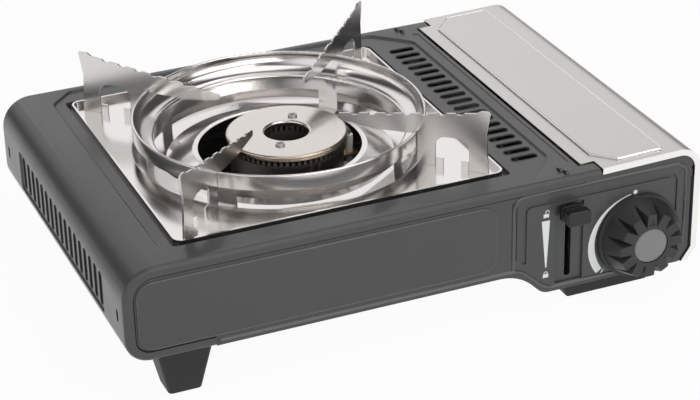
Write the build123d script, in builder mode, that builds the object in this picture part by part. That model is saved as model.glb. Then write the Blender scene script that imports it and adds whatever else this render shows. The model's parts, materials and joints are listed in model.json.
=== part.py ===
from build123d import *
import os
from math import atan2, cos, degrees, hypot, radians, sin

os.makedirs("parts", exist_ok=True)

# Portable camping gas stove: a painted steel box with the burner on the left and a
# cartridge bay under a hinged lid on the right. Millimetres. X runs to the right, Y to the
# back and Z up from the table. The origin lies under the middle of the whole stove.

# Whole stove
WIDTH = 344.0
DEPTH = 238.0
DECK_Z = 83.0  # deck above the table
BELLY_Z = 27.8  # underside of the burner box
BAY_Z = 12.4  # underside of the cartridge bay
SHEET = 0.8
KNOB_REACH = 16.0  # knob in front of the body
OVERRUN = 5.0  # cuts run this far past what they cut
RUNNING_FIT = 0.05
SEAT_GAP = 0.3

# Top shell
SHELL_TOP_R = 18.0
SHELL_BOTTOM_R = 14.0
EDGE_R = 2.6  # rounded front and rear edges
LIP = 5.5  # turned-in front and rear edges
RETURN_WIDTH = 50.0  # strip that turns under at the left
EAR_WIDTH = 10.0  # corners that run on beside the lid
EAR_LENGTH = 9.2
RECESS_DEPTH = 1.2
RECESS_LEFT_MARGIN = 27.0
RECESS_RIGHT_MARGIN = 9.3
RECESS_END_MARGIN = 5.4
RECESS_CHAMFER = 15.0
RECESS_LONG_CHAMFER = 22.0  # at the corners beside the slots
RECESS_CORNER_R = 9.0
PRESS_TAPER = 45.0  # slope of pressed steps, degrees
WELL_GAP = 2.5  # dark gap round the drip tray
LEDGE_WIDTH = 7.0
DECK_SLOT_COUNT = 19
DECK_SLOT_PITCH = 9.33
DECK_SLOT_LENGTH = 16.0
DECK_SLOT_WIDTH = 5.2
DECK_SLOT_INSET = 21.3  # middle of the slots from the lid seam
SIDE_SLOT_COUNT = 17
SIDE_SLOT_PITCH = 9.4
SIDE_SLOT_LENGTH = 20.0
SIDE_SLOT_WIDTH = 4.6
SIDE_SLOT_DROP = 30.0  # middle of the side slots below the deck
SIDE_RECESS_DEPTH = 1.0
SIDE_RECESS_MARGIN = 2.4
SIDE_RECESS_R = 2.6
TAB_HOLE_INSET = 12.0
TAB_HOLE_LENGTH = 7.4
TAB_HOLE_WIDTH = 3.0
GROOVE_DEPTH = 0.35  # shallow bead beside the lid
GROOVE_WIDTH = 4.2
GROOVE_INSET = 4.4
GROOVE_LENGTH = 204.0

# Front and rear panels
PANEL_INSET = 3.4
PANEL_DROP = 4.4
PANEL_SIDE_GAP = 4.6
PANEL_CORNER_R = 10.0
CORNER_CUT_X = 5.9
CORNER_CUT_Z = 8.1
CORNER_CUT_R = 3.0
STEP_INSET = 114.4  # knee of the stepped bottom edge, from the right side
STEP_HIGH_R = 28.0
STEP_LOW_R = 10.0
PANEL_FLANGE = 9.0
FIELD_LEFT_MARGIN = 7.2  # raised field on the panels
FIELD_TOP_DROP = 8.2
FIELD_BOTTOM_RISE = 6.4
FIELD_GAP = 13.7  # field end to the step's knee
FIELD_R = 9.5
FIELD_RAISE = 0.8
CHANNEL_WIDTH = 2.8  # pressed frame round the controls
CHANNEL_DEPTH = 0.9
CHANNEL_R = 5.0
CHANNEL_LEFT_INSET = 111.2
CHANNEL_RIGHT_INSET = 15.5
CHANNEL_TOP_DROP = 13.0
CHANNEL_LEFT_END_Z = 34.0
CHANNEL_RIGHT_END_Z = 46.0
CREASE_INSET = 117.5  # shallow upright crease left of the frame
CREASE_WIDTH = 3.2
CREASE_DEPTH = 0.5
CREASE_TOP_DROP = 9.0
CREASE_BOTTOM_RISE = 9.0

# Lever strip, lever and its guide
LEVER_INSET = 83.0  # lever from the right side
LEVER_Z = 62.0  # handle at rest
LEVER_TRAVEL = 33.0
STRIP_WIDTH = 17.6
STRIP_DEPTH = 1.6
STRIP_TOP_Z = 66.6
STRIP_BOTTOM_Z = 16.4
SLOT_BOTTOM_Z = 19.5
SHANK_WIDTH = 3.2
SHANK_HEIGHT = 6.4
SHANK_GAP = 0.3
HANDLE_WIDTH = 14.0
HANDLE_HEIGHT = 9.0
HANDLE_DEPTH = 11.0
HANDLE_STAND_OFF = 1.2
HANDLE_R = 1.6
HANDLE_BASE = 2.8  # flange behind the finger groove
HANDLE_WAIST_LENGTH = 3.2
HANDLE_WAIST_DEPTH = 1.5
CARRIAGE_WIDTH = 10.0
CARRIAGE_HEIGHT = 10.0
CARRIAGE_THICKNESS = 2.6
CARRIAGE_ARM_WIDTH = 5.0
CARRIAGE_ARM_DROP = 6.0  # pin below the handle
CARRIAGE_ARM_HEIGHT = 8.0
PIN_R = 2.0
PIN_BACK = 20.0  # cam pin behind the lever strip
GUIDE_WALL = 1.5
GUIDE_LIP = 2.0
GUIDE_BOTTOM_Z = 20.0
GUIDE_TOP_Z = 70.0

# Pull bar and cartridge pusher
PUSHER_TRAVEL = 8.0
BAR_THICKNESS = 1.5
BAR_GAP = 1.6  # carriage arm to bar
BAR_HEIGHT = 8.0
BAR_RISE = 6.0  # bar above the bay floor
CAM_MARGIN = 4.0  # bar metal round the slanted slot
PUSHER_THICKNESS = 1.5
PUSHER_TAB = 13.0
PUSHER_WIDTH = 52.0
PUSHER_HEIGHT = 44.0
PUSHER_R = 8.0
PUSHER_BACK_GAP = 6.6  # pusher to the rear panel
BAR_GUIDE_WALL = 1.2
BAR_GUIDE_DEPTH = 2.0
BAR_GUIDE_FRONT = 50.0  # front guide behind the front panel
BAR_GUIDE_REAR = 36.0  # rear guide before the rear panel

# Base plate, bay floor and partition
PLATE_SPLIT = 14.0  # seam before the step
BAY_WALL_Z = 32.0
BAY_BEND_R = 3.0
PARTITION_GAP = 1.8  # partition to the deck's edge
PARTITION_FLANGE = 6.2
AIR_SLOT_COUNT = 7
AIR_SLOT_PITCH = 11.0
AIR_SLOT_LENGTH = 60.0
AIR_SLOT_WIDTH = 5.0
AIR_SLOT_OFFSET = 72.0  # to the left of the burner

# Lid and its hinge
LID_WIDTH = 71.4
LID_SEAM = 1.8  # gap between deck and lid
LID_STEP = 0.4  # lid's top above the deck
LID_RISE = 1.7  # lid's right edge above its left edge
LID_SHEET = 0.6
LID_R = 13.0
LID_TURN_Z = 20.0
LID_TURN_R = 5.0
LID_TOE_IN = 5.5
LID_TOE_Z = 12.4
LID_FLANGE = 3.6
LID_NOTCH_GAP = 1.0
LID_NOTCH_CLEARANCE = 1.2
LUG_R = 2.4
LUG_THICKNESS = 1.0
LUG_GAP = 1.3  # lug to the lid's notch
HINGE_DROP = 2.7
HINGE_PIN_R = 1.5
HINGE_PIN_LENGTH = 4.5
BRACKET_GAP = 0.2
BRACKET_FLANGE = 6.0
BRACKET_DROP = 3.2
LID_FIELD_LEFT = 9.4
LID_FIELD_RIGHT = 22.0
LID_FIELD_END = 6.0
LID_FIELD_CHAMFER_X = 11.7
LID_FIELD_CHAMFER_Y = 13.0
LID_FIELD_RAISE = 1.0
LID_SLOT_COUNT = 13
LID_SLOT_PITCH = 15.5
LID_SLOT_LENGTH = 26.0
LID_SLOT_WIDTH = 6.0
LID_SLOT_DROP = 15.2

# Drip tray, wind ring and pan supports
TRAY_SIZE = 194.0
TRAY_SHIFT = 1.1  # tray's middle to the left of the deck's middle
TRAY_R = 5.5
WELL_R = 2.6  # corners of the well round the tray
TRAY_SHEET = 0.6
TRAY_FLOOR_DROP = 3.3
TRAY_RIM_WIDTH = 1.2
TROUGH_R = 85.4
TROUGH_LAP = 3.0
TROUGH_WALL_RUN = 8.0
TROUGH_DEPTH = 7.7
TROUGH_FLOOR_R = 66.0
COLLAR_R = 50.5
COLLAR_RISE = 5.4
BURNER_OPENING_R = 47.6
TROUGH_BEND_R = 3.0
RING_R = 84.8
RING_TOP = 16.6  # above the deck
RING_SHEET = 0.6
RING_BEAD = 1.0
BEAD_R_SHARE = 0.49  # of the bead's width
RING_HEM = 8.8
RING_SKIRT_R = 73.0
RING_BOWL_R = 9.0
RING_BOWL_DEPTH = 10.8
RING_SKIRT_BEND = 1.2
RING_SKIRT_END = 3.2  # skirt's edge below the deck
RING_LEG_WIDTH = 12.0
ARM_COUNT = 4
ARM_THICKNESS = 1.2
ARM_ARCH_WIDTH = 20.1
ARM_HEEL = 1.0
ARM_NECK = 2.5
ARM_NECK_Z = 20.0
ARM_HORN_TOP = 34.6
ARM_HORN_WIDTH = 5.5
ARM_HORN_DROP = 1.8
ARM_HORN_RUN = 3.0
ARM_TIP_R = 37.0
ARM_TIP_TOP = 20.5
ARM_TIP_HEIGHT = 3.6
ARM_BELLY_R = 59.0
ARM_BELLY_TOP = 14.0
ARM_SILL = 15.0
ARM_RING_GAP = 0.4
ARM_LEG_WIDTH = 10.6
ARM_FOOT_WIDTH = 11.6
ARM_ARCH_TOP = 15.5
ARM_ROUND_R = 6.5
ARM_TIP_ROUND_R = 1.2
ARM_BELLY_ROUND_R = 14.0
ARM_NOTCH_DEPTH = 1.2
ARM_NOTCH_R = 3.4
ARM_NOTCH_COUNT = 7
ARM_NOTCH_PITCH = 10.5
ARM_NOTCH_START = 47.0
CLIP_HEIGHT = 5.6
CLIP_WIDTH = 4.4
CLIP_THICKNESS = 0.8

# Burner
BURNER_SHIFT_X = 3.8  # burner to the right of the tray's middle
BURNER_SHIFT_Y = 1.4  # and in front of it
CAP_TOP = 3.1  # above the deck
CAP_R = 35.3
CAP_THICKNESS = 3.1
CAP_EDGE_R = 1.5
CAP_HOLE_R = 12.8
BURNER_R = 33.0
BURNER_WALL = 2.5
BURNER_FLANGE_R = 34.6
BURNER_FLANGE_THICKNESS = 1.6
BURNER_HEIGHT = 37.0
PORT_HEIGHT = 3.4
PORT_WIDTH = 1.7
PORT_COUNT = 60
INNER_PORT_COUNT = 24
BOSS_R = 4.0
CAP_SCREW_CIRCLE_R = 19.5
CAP_SCREW_ANGLE = 58.0
CAP_SCREW_R = 1.5
CAP_SCREW_HEAD_R = 2.7
CAP_SCREW_HEAD = 1.0
CAP_SCREW_LENGTH = 12.0
STAND_WIDTH = 34.0
STAND_SPAN = 42.0
STAND_FOOT = 7.0
STAND_SHEET = 1.0
STAND_BEND_R = 1.5
CLIP_PRONG = 1.2  # forked clip on the burner's front
CLIP_SPAN = 6.0
CLIP_LENGTH = 12.0
CLIP_REACH = 2.6

# Gas way
MIXER_RISE = 11.0  # mixing tube above the burner's foot
MIXER_ANGLE = -30.0  # turned to the front from the right, degrees
MIXER_R = 9.5
MIXER_WALL = 1.5
MIXER_BELL_R = 13.0
MIXER_BELL_LENGTH = 12.0
JET_TIP_R = 2.5
JET_BODY_R = 5.5
JET_LENGTH = 14.0
JET_TIP_LENGTH = 6.0
JET_LAP = 2.0  # jet inside the tube's mouth
JET_ROOM = 34.8  # from the jet's end to the partition, across the stove
JET_BORE_R = 0.8
PIPE_R = 2.5
PIPE_BORE_R = 1.6
PIPE_BEND_R = 8.0
PIPE_RUN = 12.0  # straight run into the jet
PIPE_TURN_INSET = 14.0  # first bend to the left of the partition
PIPE_HOLE_GAP = 0.7

# Regulator, igniter and cartridge
CARTRIDGE_R = 33.5
CARTRIDGE_INSET = 37.8  # cartridge axis from the right side
CARTRIDGE_SEAT = 0.8
KNOB_INSET = 39.5
KNOB_Z = 37.2
REGULATOR_WIDTH = 40.0
REGULATOR_HEIGHT = 40.0
REGULATOR_DEPTH = 24.0
REGULATOR_RISE = 16.0  # above the bay floor's top
REGULATOR_STAND_OFF = 6.0
REGULATOR_R = 4.0
SPINDLE_BOSS_R = 7.0
SPINDLE_R = 3.0
SPINDLE_HOLE_R = 4.5
SPINDLE_DEPTH = 10.0
SOCKET_BOSS_R = 15.0
SOCKET_BOSS = 4.0
SOCKET_R = 6.0
SOCKET_DEPTH = 9.0
SEAL_BORE_R = 3.0
SEAL_THICKNESS = 2.5
COVER_R = 11.5
COVER_THICKNESS = 4.0
COVER_SCREW_CIRCLE_R = 8.5
COVER_SCREW_HEAD_R = 1.7
COVER_SCREW_R = 0.9
COVER_SCREW_LENGTH = 7.0
COVER_SCREW_HEAD = 1.2
COVER_SCREW_COUNT = 4
GUIDE_PLATE_WIDTH = 9.0
GUIDE_PLATE_HEIGHT = 14.0
GUIDE_PLATE_THICKNESS = 1.5
PIPE_PORT_DROP = 4.0  # pipe below the regulator's top
PIPE_PORT_BACK = 18.0  # pipe behind the regulator's front face
IGNITER_WIDTH = 11.0
IGNITER_DEPTH = 12.0
IGNITER_HEIGHT = 28.0
IGNITER_STAND_OFF = 1.0
IGNITER_R = 2.0
LEAD_R = 1.2
LEAD_RISE = 19.0
LEAD_INSET = 20.0  # lead to the left of the partition
LEAD_BEND_R = 6.0
LEAD_HOLE_GAP = 0.6
ELECTRODE_SHIFT_X = 38.4  # electrode beside the burner's axis
ELECTRODE_SHIFT_Y = -1.6
CERAMIC_R = 2.2
CERAMIC_LENGTH = 20.0
CERAMIC_TOP = 6.5  # below the deck
ELECTRODE_R = 0.8
ELECTRODE_RISE = 5.0
ELECTRODE_LEAN = 1.6
ELECTRODE_BEND_R = 1.4
HOLDER_THICKNESS = 1.2
HOLDER_WIDTH = 9.0
HOLDER_DROP = 12.0
HEAT_PLATE_WIDTH = 40.0
HEAT_PLATE_BACK = 18.0  # from the burner's axis
HEAT_PLATE_UNDER = 46.0  # length under the cartridge
HEAT_PLATE_RISE = 45.0
HEAT_PLATE_REACH = 88.0
HEAT_PLATE_GAP = 0.4
HEAT_PLATE_R = 1.5

# Knob
KNOB_SKIRT_R = 25.5
KNOB_SKIRT = 2.6
KNOB_GAP = 0.6
KNOB_R = 24.0
KNOB_FRONT_R = 19.5
KNOB_LOBES = 12
KNOB_VALLEY_START_R = 12.4  # valleys between the lobes start beside the cap
KNOB_VALLEY_HALF = 4.4  # half width in the front face's plane, at the skirt's edge
KNOB_VALLEY_DEPTH = 13.6
VALLEY_START_SHARE = 0.03
KNOB_POINTER_R = 13.0  # engraved pointer on the top lobe
KNOB_POINTER_LENGTH = 4.0
KNOB_POINTER_HALF = 1.9
KNOB_POINTER_DEPTH = 0.5
KNOB_CAP_R = 10.6
KNOB_CAP_THICKNESS = 1.6
KNOB_CAP_INSET = 0.6
KNOB_EDGE_R = 0.7
KNOB_BORE_DEPTH = 9.0

# Feet
FOOT_TOP_LENGTH = 31.0
FOOT_TOP_DEPTH = 26.0
FOOT_BOTTOM_LENGTH = 19.0
FOOT_BOTTOM_DEPTH = 17.0
FOOT_INSET = 18.0  # left feet from the left side
FOOT_SET_BACK = 3.0  # left feet from the front or rear face
FOOT_R = 2.5
RUNNER_LENGTH = 64.0  # low right feet
RUNNER_DEPTH = 22.0
RUNNER_INSET = 17.0  # from the right side
RUNNER_SET_BACK = 10.5  # from the front or rear face
RUNNER_HEEL_SLOPE = 2.0  # left end
RUNNER_TOE_SLOPE = 9.0  # right end
RUNNER_R = 3.0
FOOT_SCREW_R = 1.6
FOOT_SCREW_HEAD_R = 3.2
FOOT_SCREW_HEAD = 1.4
FOOT_SCREW_LENGTH = 7.0

# Places that follow from the sizes
LEFT_X = -WIDTH / 2
RIGHT_X = WIDTH / 2
MID_Y = KNOB_REACH / 2
FRONT_Y = MID_Y - DEPTH / 2
REAR_Y = MID_Y + DEPTH / 2
PANEL_FRONT = FRONT_Y + SHEET
PANEL_BACK = PANEL_FRONT + SHEET
REAR_INNER = REAR_Y - 2 * SHEET
STRIP_BACK = PANEL_BACK + STRIP_DEPTH
RETURN_END = LEFT_X + RETURN_WIDTH
LID_LEFT = RIGHT_X - LID_WIDTH
DECK_END = LID_LEFT - LID_SEAM
EAR_END = DECK_END + EAR_LENGTH
EAR_HALF = DEPTH / 2 - EAR_WIDTH
LID_Z = DECK_Z + LID_STEP
LID_NOTCH = EAR_END + LID_NOTCH_GAP
LID_NOTCH_HALF = EAR_HALF - LID_NOTCH_CLEARANCE
HINGE_X = LID_LEFT + LUG_R
HINGE_Z = DECK_Z - HINGE_DROP
TRAY_X = (LEFT_X + DECK_END) / 2 - TRAY_SHIFT
TRAY_Y = MID_Y
TRAY_FLOOR_Z = DECK_Z - TRAY_FLOOR_DROP
TRAY_SEAT_Z = TRAY_FLOOR_Z - TRAY_SHEET
TROUGH_Z = TRAY_FLOOR_Z - TROUGH_DEPTH
WELL_HALF = TRAY_SIZE / 2 + WELL_GAP
ARM_REACH = RING_R + ARM_RING_GAP + ARM_LEG_WIDTH + ARM_ARCH_WIDTH + ARM_FOOT_WIDTH + ARM_HEEL
BURNER_X = TRAY_X + BURNER_SHIFT_X
BURNER_Y = TRAY_Y - BURNER_SHIFT_Y
CAP_Z = DECK_Z + CAP_TOP - CAP_THICKNESS
BURNER_FOOT_Z = CAP_Z - BURNER_HEIGHT
KNEE_HIGH_X = RIGHT_X - STEP_INSET
KNEE_LOW_X = KNEE_HIGH_X + BELLY_Z - BAY_Z
PLATE_END = KNEE_HIGH_X - PLATE_SPLIT
BASE_TOP_Z = BELLY_Z + 2 * SHEET
BAY_TOP_Z = BAY_Z + 2 * SHEET
PARTITION_X = DECK_END - PARTITION_GAP - SHEET
LEVER_X = RIGHT_X - LEVER_INSET
CAM_PIN_Y = STRIP_BACK + PIN_BACK
CAM_PIN_Z = LEVER_Z - CARRIAGE_ARM_DROP
KNOB_X = RIGHT_X - KNOB_INSET
CARTRIDGE_X = RIGHT_X - CARTRIDGE_INSET
CARTRIDGE_Z = BAY_TOP_Z + CARTRIDGE_SEAT + CARTRIDGE_R
REGULATOR_FRONT = PANEL_BACK + REGULATOR_STAND_OFF
REGULATOR_BACK = REGULATOR_FRONT + REGULATOR_DEPTH
REGULATOR_Z = BAY_TOP_Z + REGULATOR_RISE
REGULATOR_TOP = REGULATOR_Z + REGULATOR_HEIGHT
REGULATOR_LEFT = CARTRIDGE_X - REGULATOR_WIDTH / 2
REGULATOR_RIGHT = CARTRIDGE_X + REGULATOR_WIDTH / 2
PIPE_Y = REGULATOR_FRONT + PIPE_PORT_BACK
PIPE_Z = REGULATOR_TOP - PIPE_PORT_DROP
MIXER_Z = BURNER_FOOT_Z + MIXER_RISE
JET_END = (PARTITION_X - JET_ROOM - BURNER_X) / cos(radians(MIXER_ANGLE))
MIXER_END = JET_END - JET_LENGTH + JET_LAP
ELECTRODE_X = BURNER_X + ELECTRODE_SHIFT_X
ELECTRODE_Y = BURNER_Y + ELECTRODE_SHIFT_Y
CERAMIC_TOP_Z = DECK_Z - CERAMIC_TOP
CERAMIC_FOOT_Z = CERAMIC_TOP_Z - CERAMIC_LENGTH
IGNITER_X = REGULATOR_RIGHT + IGNITER_WIDTH / 2
IGNITER_Y = PANEL_BACK + IGNITER_STAND_OFF + IGNITER_DEPTH / 2
IGNITER_TOP = REGULATOR_Z + IGNITER_HEIGHT
BAR_X = LEVER_X + CARRIAGE_ARM_WIDTH / 2 + BAR_GAP
BAR_Z = BAY_TOP_Z + BAR_RISE
PUSHER_BACK = REAR_INNER - PUSHER_BACK_GAP


def upright(y):
    """Plane across the stove at depth y, with X to the right and Z up."""
    return Plane.XZ.offset(-y)


def endwise(x):
    """Plane along the stove at x, with Y to the right and Z up."""
    return Plane.YZ.offset(x)


def level(z):
    """Horizontal plane at height z."""
    return Plane.XY.offset(z)


def outline(plane, corners, radii):
    """Closed face with a rounding at each corner."""
    with BuildSketch(plane) as face:
        with BuildLine():
            FilletPolyline(*corners, radius=radii, close=True)
        make_face()
    return face.sketch


def rectangle(plane, low, high, radius=0):
    """Rectangle between two corners of the plane."""
    corners = [low, (high[0], low[1]), high, (low[0], high[1])]
    return outline(plane, corners, [radius] * len(corners))


def square(plane, centre, half, radius=0):
    """Square about a centre."""
    low = (centre[0] - half, centre[1] - half)
    high = (centre[0] + half, centre[1] + half)
    return rectangle(plane, low, high, radius)


def strip(plane, corners, radii, thickness):
    """Edge view of a bent sheet along a line of corners."""
    with BuildSketch(plane) as edge_view:
        with BuildLine():
            FilletPolyline(*corners, radius=radii)
        trace(line_width=thickness)
    return edge_view.sketch


def disc(plane, centre, radius):
    """Round face about a centre."""
    with BuildSketch(plane) as face:
        with Locations(centre):
            Circle(radius)
    return face.sketch


def slots(plane, centres, length, width, turn=0):
    """Row of round-ended slots."""
    with BuildSketch(plane) as row:
        with Locations(*centres):
            SlotOverall(length, width, rotation=turn)
    return row.sketch


def inward(chain, distance):
    """Corners of an open outline after each side moves to its right by a distance."""
    sides = []
    for start, end in zip(chain, chain[1:]):
        run = Vector(*end) - Vector(*start)
        shift = Vector(run.Y, -run.X) * (distance / run.length)
        sides.append((Vector(*start) + shift, run))
    corners = [sides[0][0]]
    for (here, run), (there, turn) in zip(sides, sides[1:]):
        across = there - here
        step = (across.X * turn.Y - across.Y * turn.X) / (run.X * turn.Y - run.Y * turn.X)
        corners.append(here + run * step)
    corners.append(sides[-1][0] + sides[-1][1])
    return [(corner.X, corner.Y) for corner in corners]


def row(count, pitch):
    """Places of a centred row."""
    return [(index - (count - 1) / 2) * pitch for index in range(count)]


def keep(builder, name):
    """Label a finished piece and write it."""
    builder.part.label = name
    export_step(builder.part, f"parts/{name}.step")


# Places of the feet and their screws
post_x = LEFT_X + FOOT_INSET + FOOT_TOP_LENGTH / 2
runner_x = RIGHT_X - RUNNER_INSET - RUNNER_LENGTH / 2
post_front_y = FRONT_Y + FOOT_SET_BACK + FOOT_TOP_DEPTH / 2
post_rear_y = REAR_Y - FOOT_SET_BACK - FOOT_TOP_DEPTH / 2
runner_front_y = FRONT_Y + RUNNER_SET_BACK + RUNNER_DEPTH / 2
runner_rear_y = REAR_Y - RUNNER_SET_BACK - RUNNER_DEPTH / 2
post_places = {"foot_front_left": (post_x, post_front_y), "foot_rear_left": (post_x, post_rear_y)}
runner_places = {
    "foot_front_right": (runner_x, runner_front_y),
    "foot_rear_right": (runner_x, runner_rear_y),
}
screw_tops = [(place, BELLY_Z) for place in post_places.values()]
screw_tops += [(place, BAY_Z) for place in runner_places.values()]


# Top shell: deck, left side and lower left return in one bent sheet
def box_section(y, inset, right):
    corners = [
        (right, DECK_Z - inset),
        (LEFT_X + inset, DECK_Z - inset),
        (LEFT_X + inset, BELLY_Z + inset),
        (right, BELLY_Z + inset),
    ]
    return outline(upright(y), corners, [0, SHELL_TOP_R - inset, SHELL_BOTTOM_R - inset, 0])


def end_edges(part, right):
    """Edges round the front and rear faces, apart from the open right side."""
    faces = part.faces().sort_by(Axis.Y)
    edges = faces[0].edges() + faces[-1].edges()
    return edges.filter_by(lambda edge: edge.center().X < right - SHEET)


with BuildPart() as shell_hollow:
    extrude(box_section(REAR_Y - SHEET, SHEET, EAR_END + OVERRUN), amount=DEPTH - 2 * SHEET)
    fillet(end_edges(shell_hollow, EAR_END), EDGE_R - SHEET)

recess_low = (LEFT_X + RECESS_LEFT_MARGIN, FRONT_Y + RECESS_END_MARGIN)
recess_high = (DECK_END - RECESS_RIGHT_MARGIN, REAR_Y - RECESS_END_MARGIN)
recess_corners = [
    (recess_low[0] + RECESS_CHAMFER, recess_low[1]),
    (recess_high[0] - RECESS_LONG_CHAMFER, recess_low[1]),
    (recess_high[0], recess_low[1] + RECESS_LONG_CHAMFER),
    (recess_high[0], recess_high[1] - RECESS_LONG_CHAMFER),
    (recess_high[0] - RECESS_LONG_CHAMFER, recess_high[1]),
    (recess_low[0] + RECESS_CHAMFER, recess_high[1]),
    (recess_low[0], recess_high[1] - RECESS_CHAMFER),
    (recess_low[0], recess_low[1] + RECESS_CHAMFER),
]
recess_radii = [RECESS_CORNER_R] * len(recess_corners)
side_slot_z = DECK_Z - SIDE_SLOT_DROP
side_half_y = SIDE_SLOT_COUNT * SIDE_SLOT_PITCH / 2 + SIDE_RECESS_MARGIN
side_half_z = SIDE_SLOT_LENGTH / 2 + SIDE_RECESS_MARGIN
side_low = (MID_Y - side_half_y, side_slot_z - side_half_z)
side_high = (MID_Y + side_half_y, side_slot_z + side_half_z)
tray_centre = (TRAY_X, TRAY_Y)

with BuildPart() as top_shell:
    extrude(box_section(REAR_Y, 0, EAR_END), amount=DEPTH)
    fillet(end_edges(top_shell, EAR_END), EDGE_R)
    add(shell_hollow.part, mode=Mode.SUBTRACT)
    # Front and rear openings inside the turned-in lip, and the open underside
    extrude(
        box_section(REAR_Y + OVERRUN, LIP, EAR_END + OVERRUN),
        amount=DEPTH + 2 * OVERRUN,
        mode=Mode.SUBTRACT,
    )
    open_low = (RETURN_END, BELLY_Z - OVERRUN)
    open_high = (EAR_END + OVERRUN, DECK_Z - LIP)
    extrude(
        rectangle(upright(REAR_Y + OVERRUN), open_low, open_high),
        amount=DEPTH + 2 * OVERRUN,
        mode=Mode.SUBTRACT,
    )
    # Notch for the lid between the two ears
    notch_low = (DECK_END, MID_Y - EAR_HALF)
    notch_high = (EAR_END + OVERRUN, MID_Y + EAR_HALF)
    extrude(rectangle(level(DECK_Z - LIP), notch_low, notch_high), amount=LIP + OVERRUN, mode=Mode.SUBTRACT)
    # Pressed recess of the deck, with the sheet carried down behind it
    extrude(outline(level(DECK_Z - SHEET), recess_corners, recess_radii), amount=-RECESS_DEPTH)
    # Well and ledge that carry the drip tray
    extrude(
        square(level(TRAY_SEAT_Z - SHEET), tray_centre, WELL_HALF + SHEET, WELL_R + SHEET),
        amount=DECK_Z - RECESS_DEPTH - TRAY_SEAT_Z + SHEET,
    )
    extrude(
        outline(level(DECK_Z), recess_corners, recess_radii),
        amount=-RECESS_DEPTH,
        taper=PRESS_TAPER,
        mode=Mode.SUBTRACT,
    )
    extrude(
        square(level(TRAY_SEAT_Z), tray_centre, WELL_HALF, WELL_R),
        amount=DECK_Z - TRAY_SEAT_Z + OVERRUN,
        mode=Mode.SUBTRACT,
    )
    extrude(
        square(level(TRAY_SEAT_Z - SHEET - OVERRUN), tray_centre, WELL_HALF - LEDGE_WIDTH, TRAY_R),
        amount=SHEET + 2 * OVERRUN,
        mode=Mode.SUBTRACT,
    )
    # Slots beside the tray
    deck_slots = [
        (DECK_END - DECK_SLOT_INSET, MID_Y + place) for place in row(DECK_SLOT_COUNT, DECK_SLOT_PITCH)
    ]
    extrude(
        slots(level(DECK_Z), deck_slots, DECK_SLOT_LENGTH, DECK_SLOT_WIDTH),
        amount=-(RECESS_DEPTH + SHEET + OVERRUN),
        mode=Mode.SUBTRACT,
    )
    # Shallow bead along the lid
    bead = [(DECK_END - GROOVE_INSET, MID_Y)]
    extrude(
        slots(level(DECK_Z), bead, GROOVE_LENGTH, GROOVE_WIDTH, 90),
        amount=-GROOVE_DEPTH,
        mode=Mode.SUBTRACT,
    )
    # Pressed vent field and slots of the left side
    extrude(
        rectangle(endwise(LEFT_X + SHEET), side_low, side_high, SIDE_RECESS_R),
        amount=SIDE_RECESS_DEPTH,
    )
    extrude(
        rectangle(endwise(LEFT_X), side_low, side_high, SIDE_RECESS_R),
        amount=SIDE_RECESS_DEPTH,
        taper=PRESS_TAPER,
        mode=Mode.SUBTRACT,
    )
    side_slots = [(MID_Y + place, side_slot_z) for place in row(SIDE_SLOT_COUNT, SIDE_SLOT_PITCH)]
    extrude(
        slots(endwise(LEFT_X), side_slots, SIDE_SLOT_LENGTH, SIDE_SLOT_WIDTH, 90),
        amount=SIDE_RECESS_DEPTH + SHEET + OVERRUN,
        mode=Mode.SUBTRACT,
    )
    tab_holes = [(FRONT_Y + TAB_HOLE_INSET, side_slot_z), (REAR_Y - TAB_HOLE_INSET, side_slot_z)]
    extrude(
        slots(endwise(LEFT_X), tab_holes, TAB_HOLE_LENGTH, TAB_HOLE_WIDTH, 90),
        amount=SHEET + OVERRUN,
        mode=Mode.SUBTRACT,
    )
    for place in post_places.values():
        extrude(disc(level(BELLY_Z - OVERRUN), place, FOOT_SCREW_R), amount=2 * OVERRUN, mode=Mode.SUBTRACT)
keep(top_shell, "top_shell")


# Front and rear panels, stepped down under the cartridge bay
panel_right = RIGHT_X - PANEL_SIDE_GAP
corner_cut = [(panel_right, BAY_Z + CORNER_CUT_Z), (panel_right - CORNER_CUT_X, BAY_Z)]
step = [(KNEE_LOW_X, BAY_Z), (KNEE_HIGH_X, BELLY_Z)]
panel_start = RETURN_END + SEAT_GAP
field_low = (LEFT_X + FIELD_LEFT_MARGIN, BELLY_Z + FIELD_BOTTOM_RISE)
field_high = (KNEE_HIGH_X - FIELD_GAP, DECK_Z - FIELD_TOP_DROP)


def panel_face(y):
    corners = [
        (LEFT_X + PANEL_INSET, DECK_Z - PANEL_DROP),
        (panel_right, DECK_Z - PANEL_DROP),
        *corner_cut,
        *step,
        (panel_start, BELLY_Z),
        (panel_start, BELLY_Z + PANEL_INSET),
        (LEFT_X + PANEL_INSET, BELLY_Z + PANEL_INSET),
    ]
    left_radii = [SHELL_TOP_R - PANEL_INSET, SHELL_BOTTOM_R - PANEL_INSET]
    step_radii = [STEP_LOW_R, STEP_HIGH_R]
    radii = [left_radii[0], PANEL_CORNER_R, CORNER_CUT_R, CORNER_CUT_R, *step_radii, 0, 0, left_radii[1]]
    return outline(upright(y), corners, radii)


def bottom_flange(y):
    """Edge view of the flange turned in along the panel's stepped bottom."""
    rise = SHEET / 2
    path = inward([corner_cut[1], *step, (panel_start, BELLY_Z)], rise)
    return strip(upright(y), path, [STEP_LOW_R - rise, STEP_HIGH_R + rise], SHEET)


def channel(y, width, longer):
    """Pressed frame over the controls, open at the bottom."""
    left = RIGHT_X - CHANNEL_LEFT_INSET
    right = RIGHT_X - CHANNEL_RIGHT_INSET
    top = DECK_Z - CHANNEL_TOP_DROP
    path = [
        (left, CHANNEL_LEFT_END_Z - longer),
        (left, top),
        (right, top),
        (right, CHANNEL_RIGHT_END_Z - longer),
    ]
    return strip(upright(y), path, [CHANNEL_R, CHANNEL_R], width)


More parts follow.
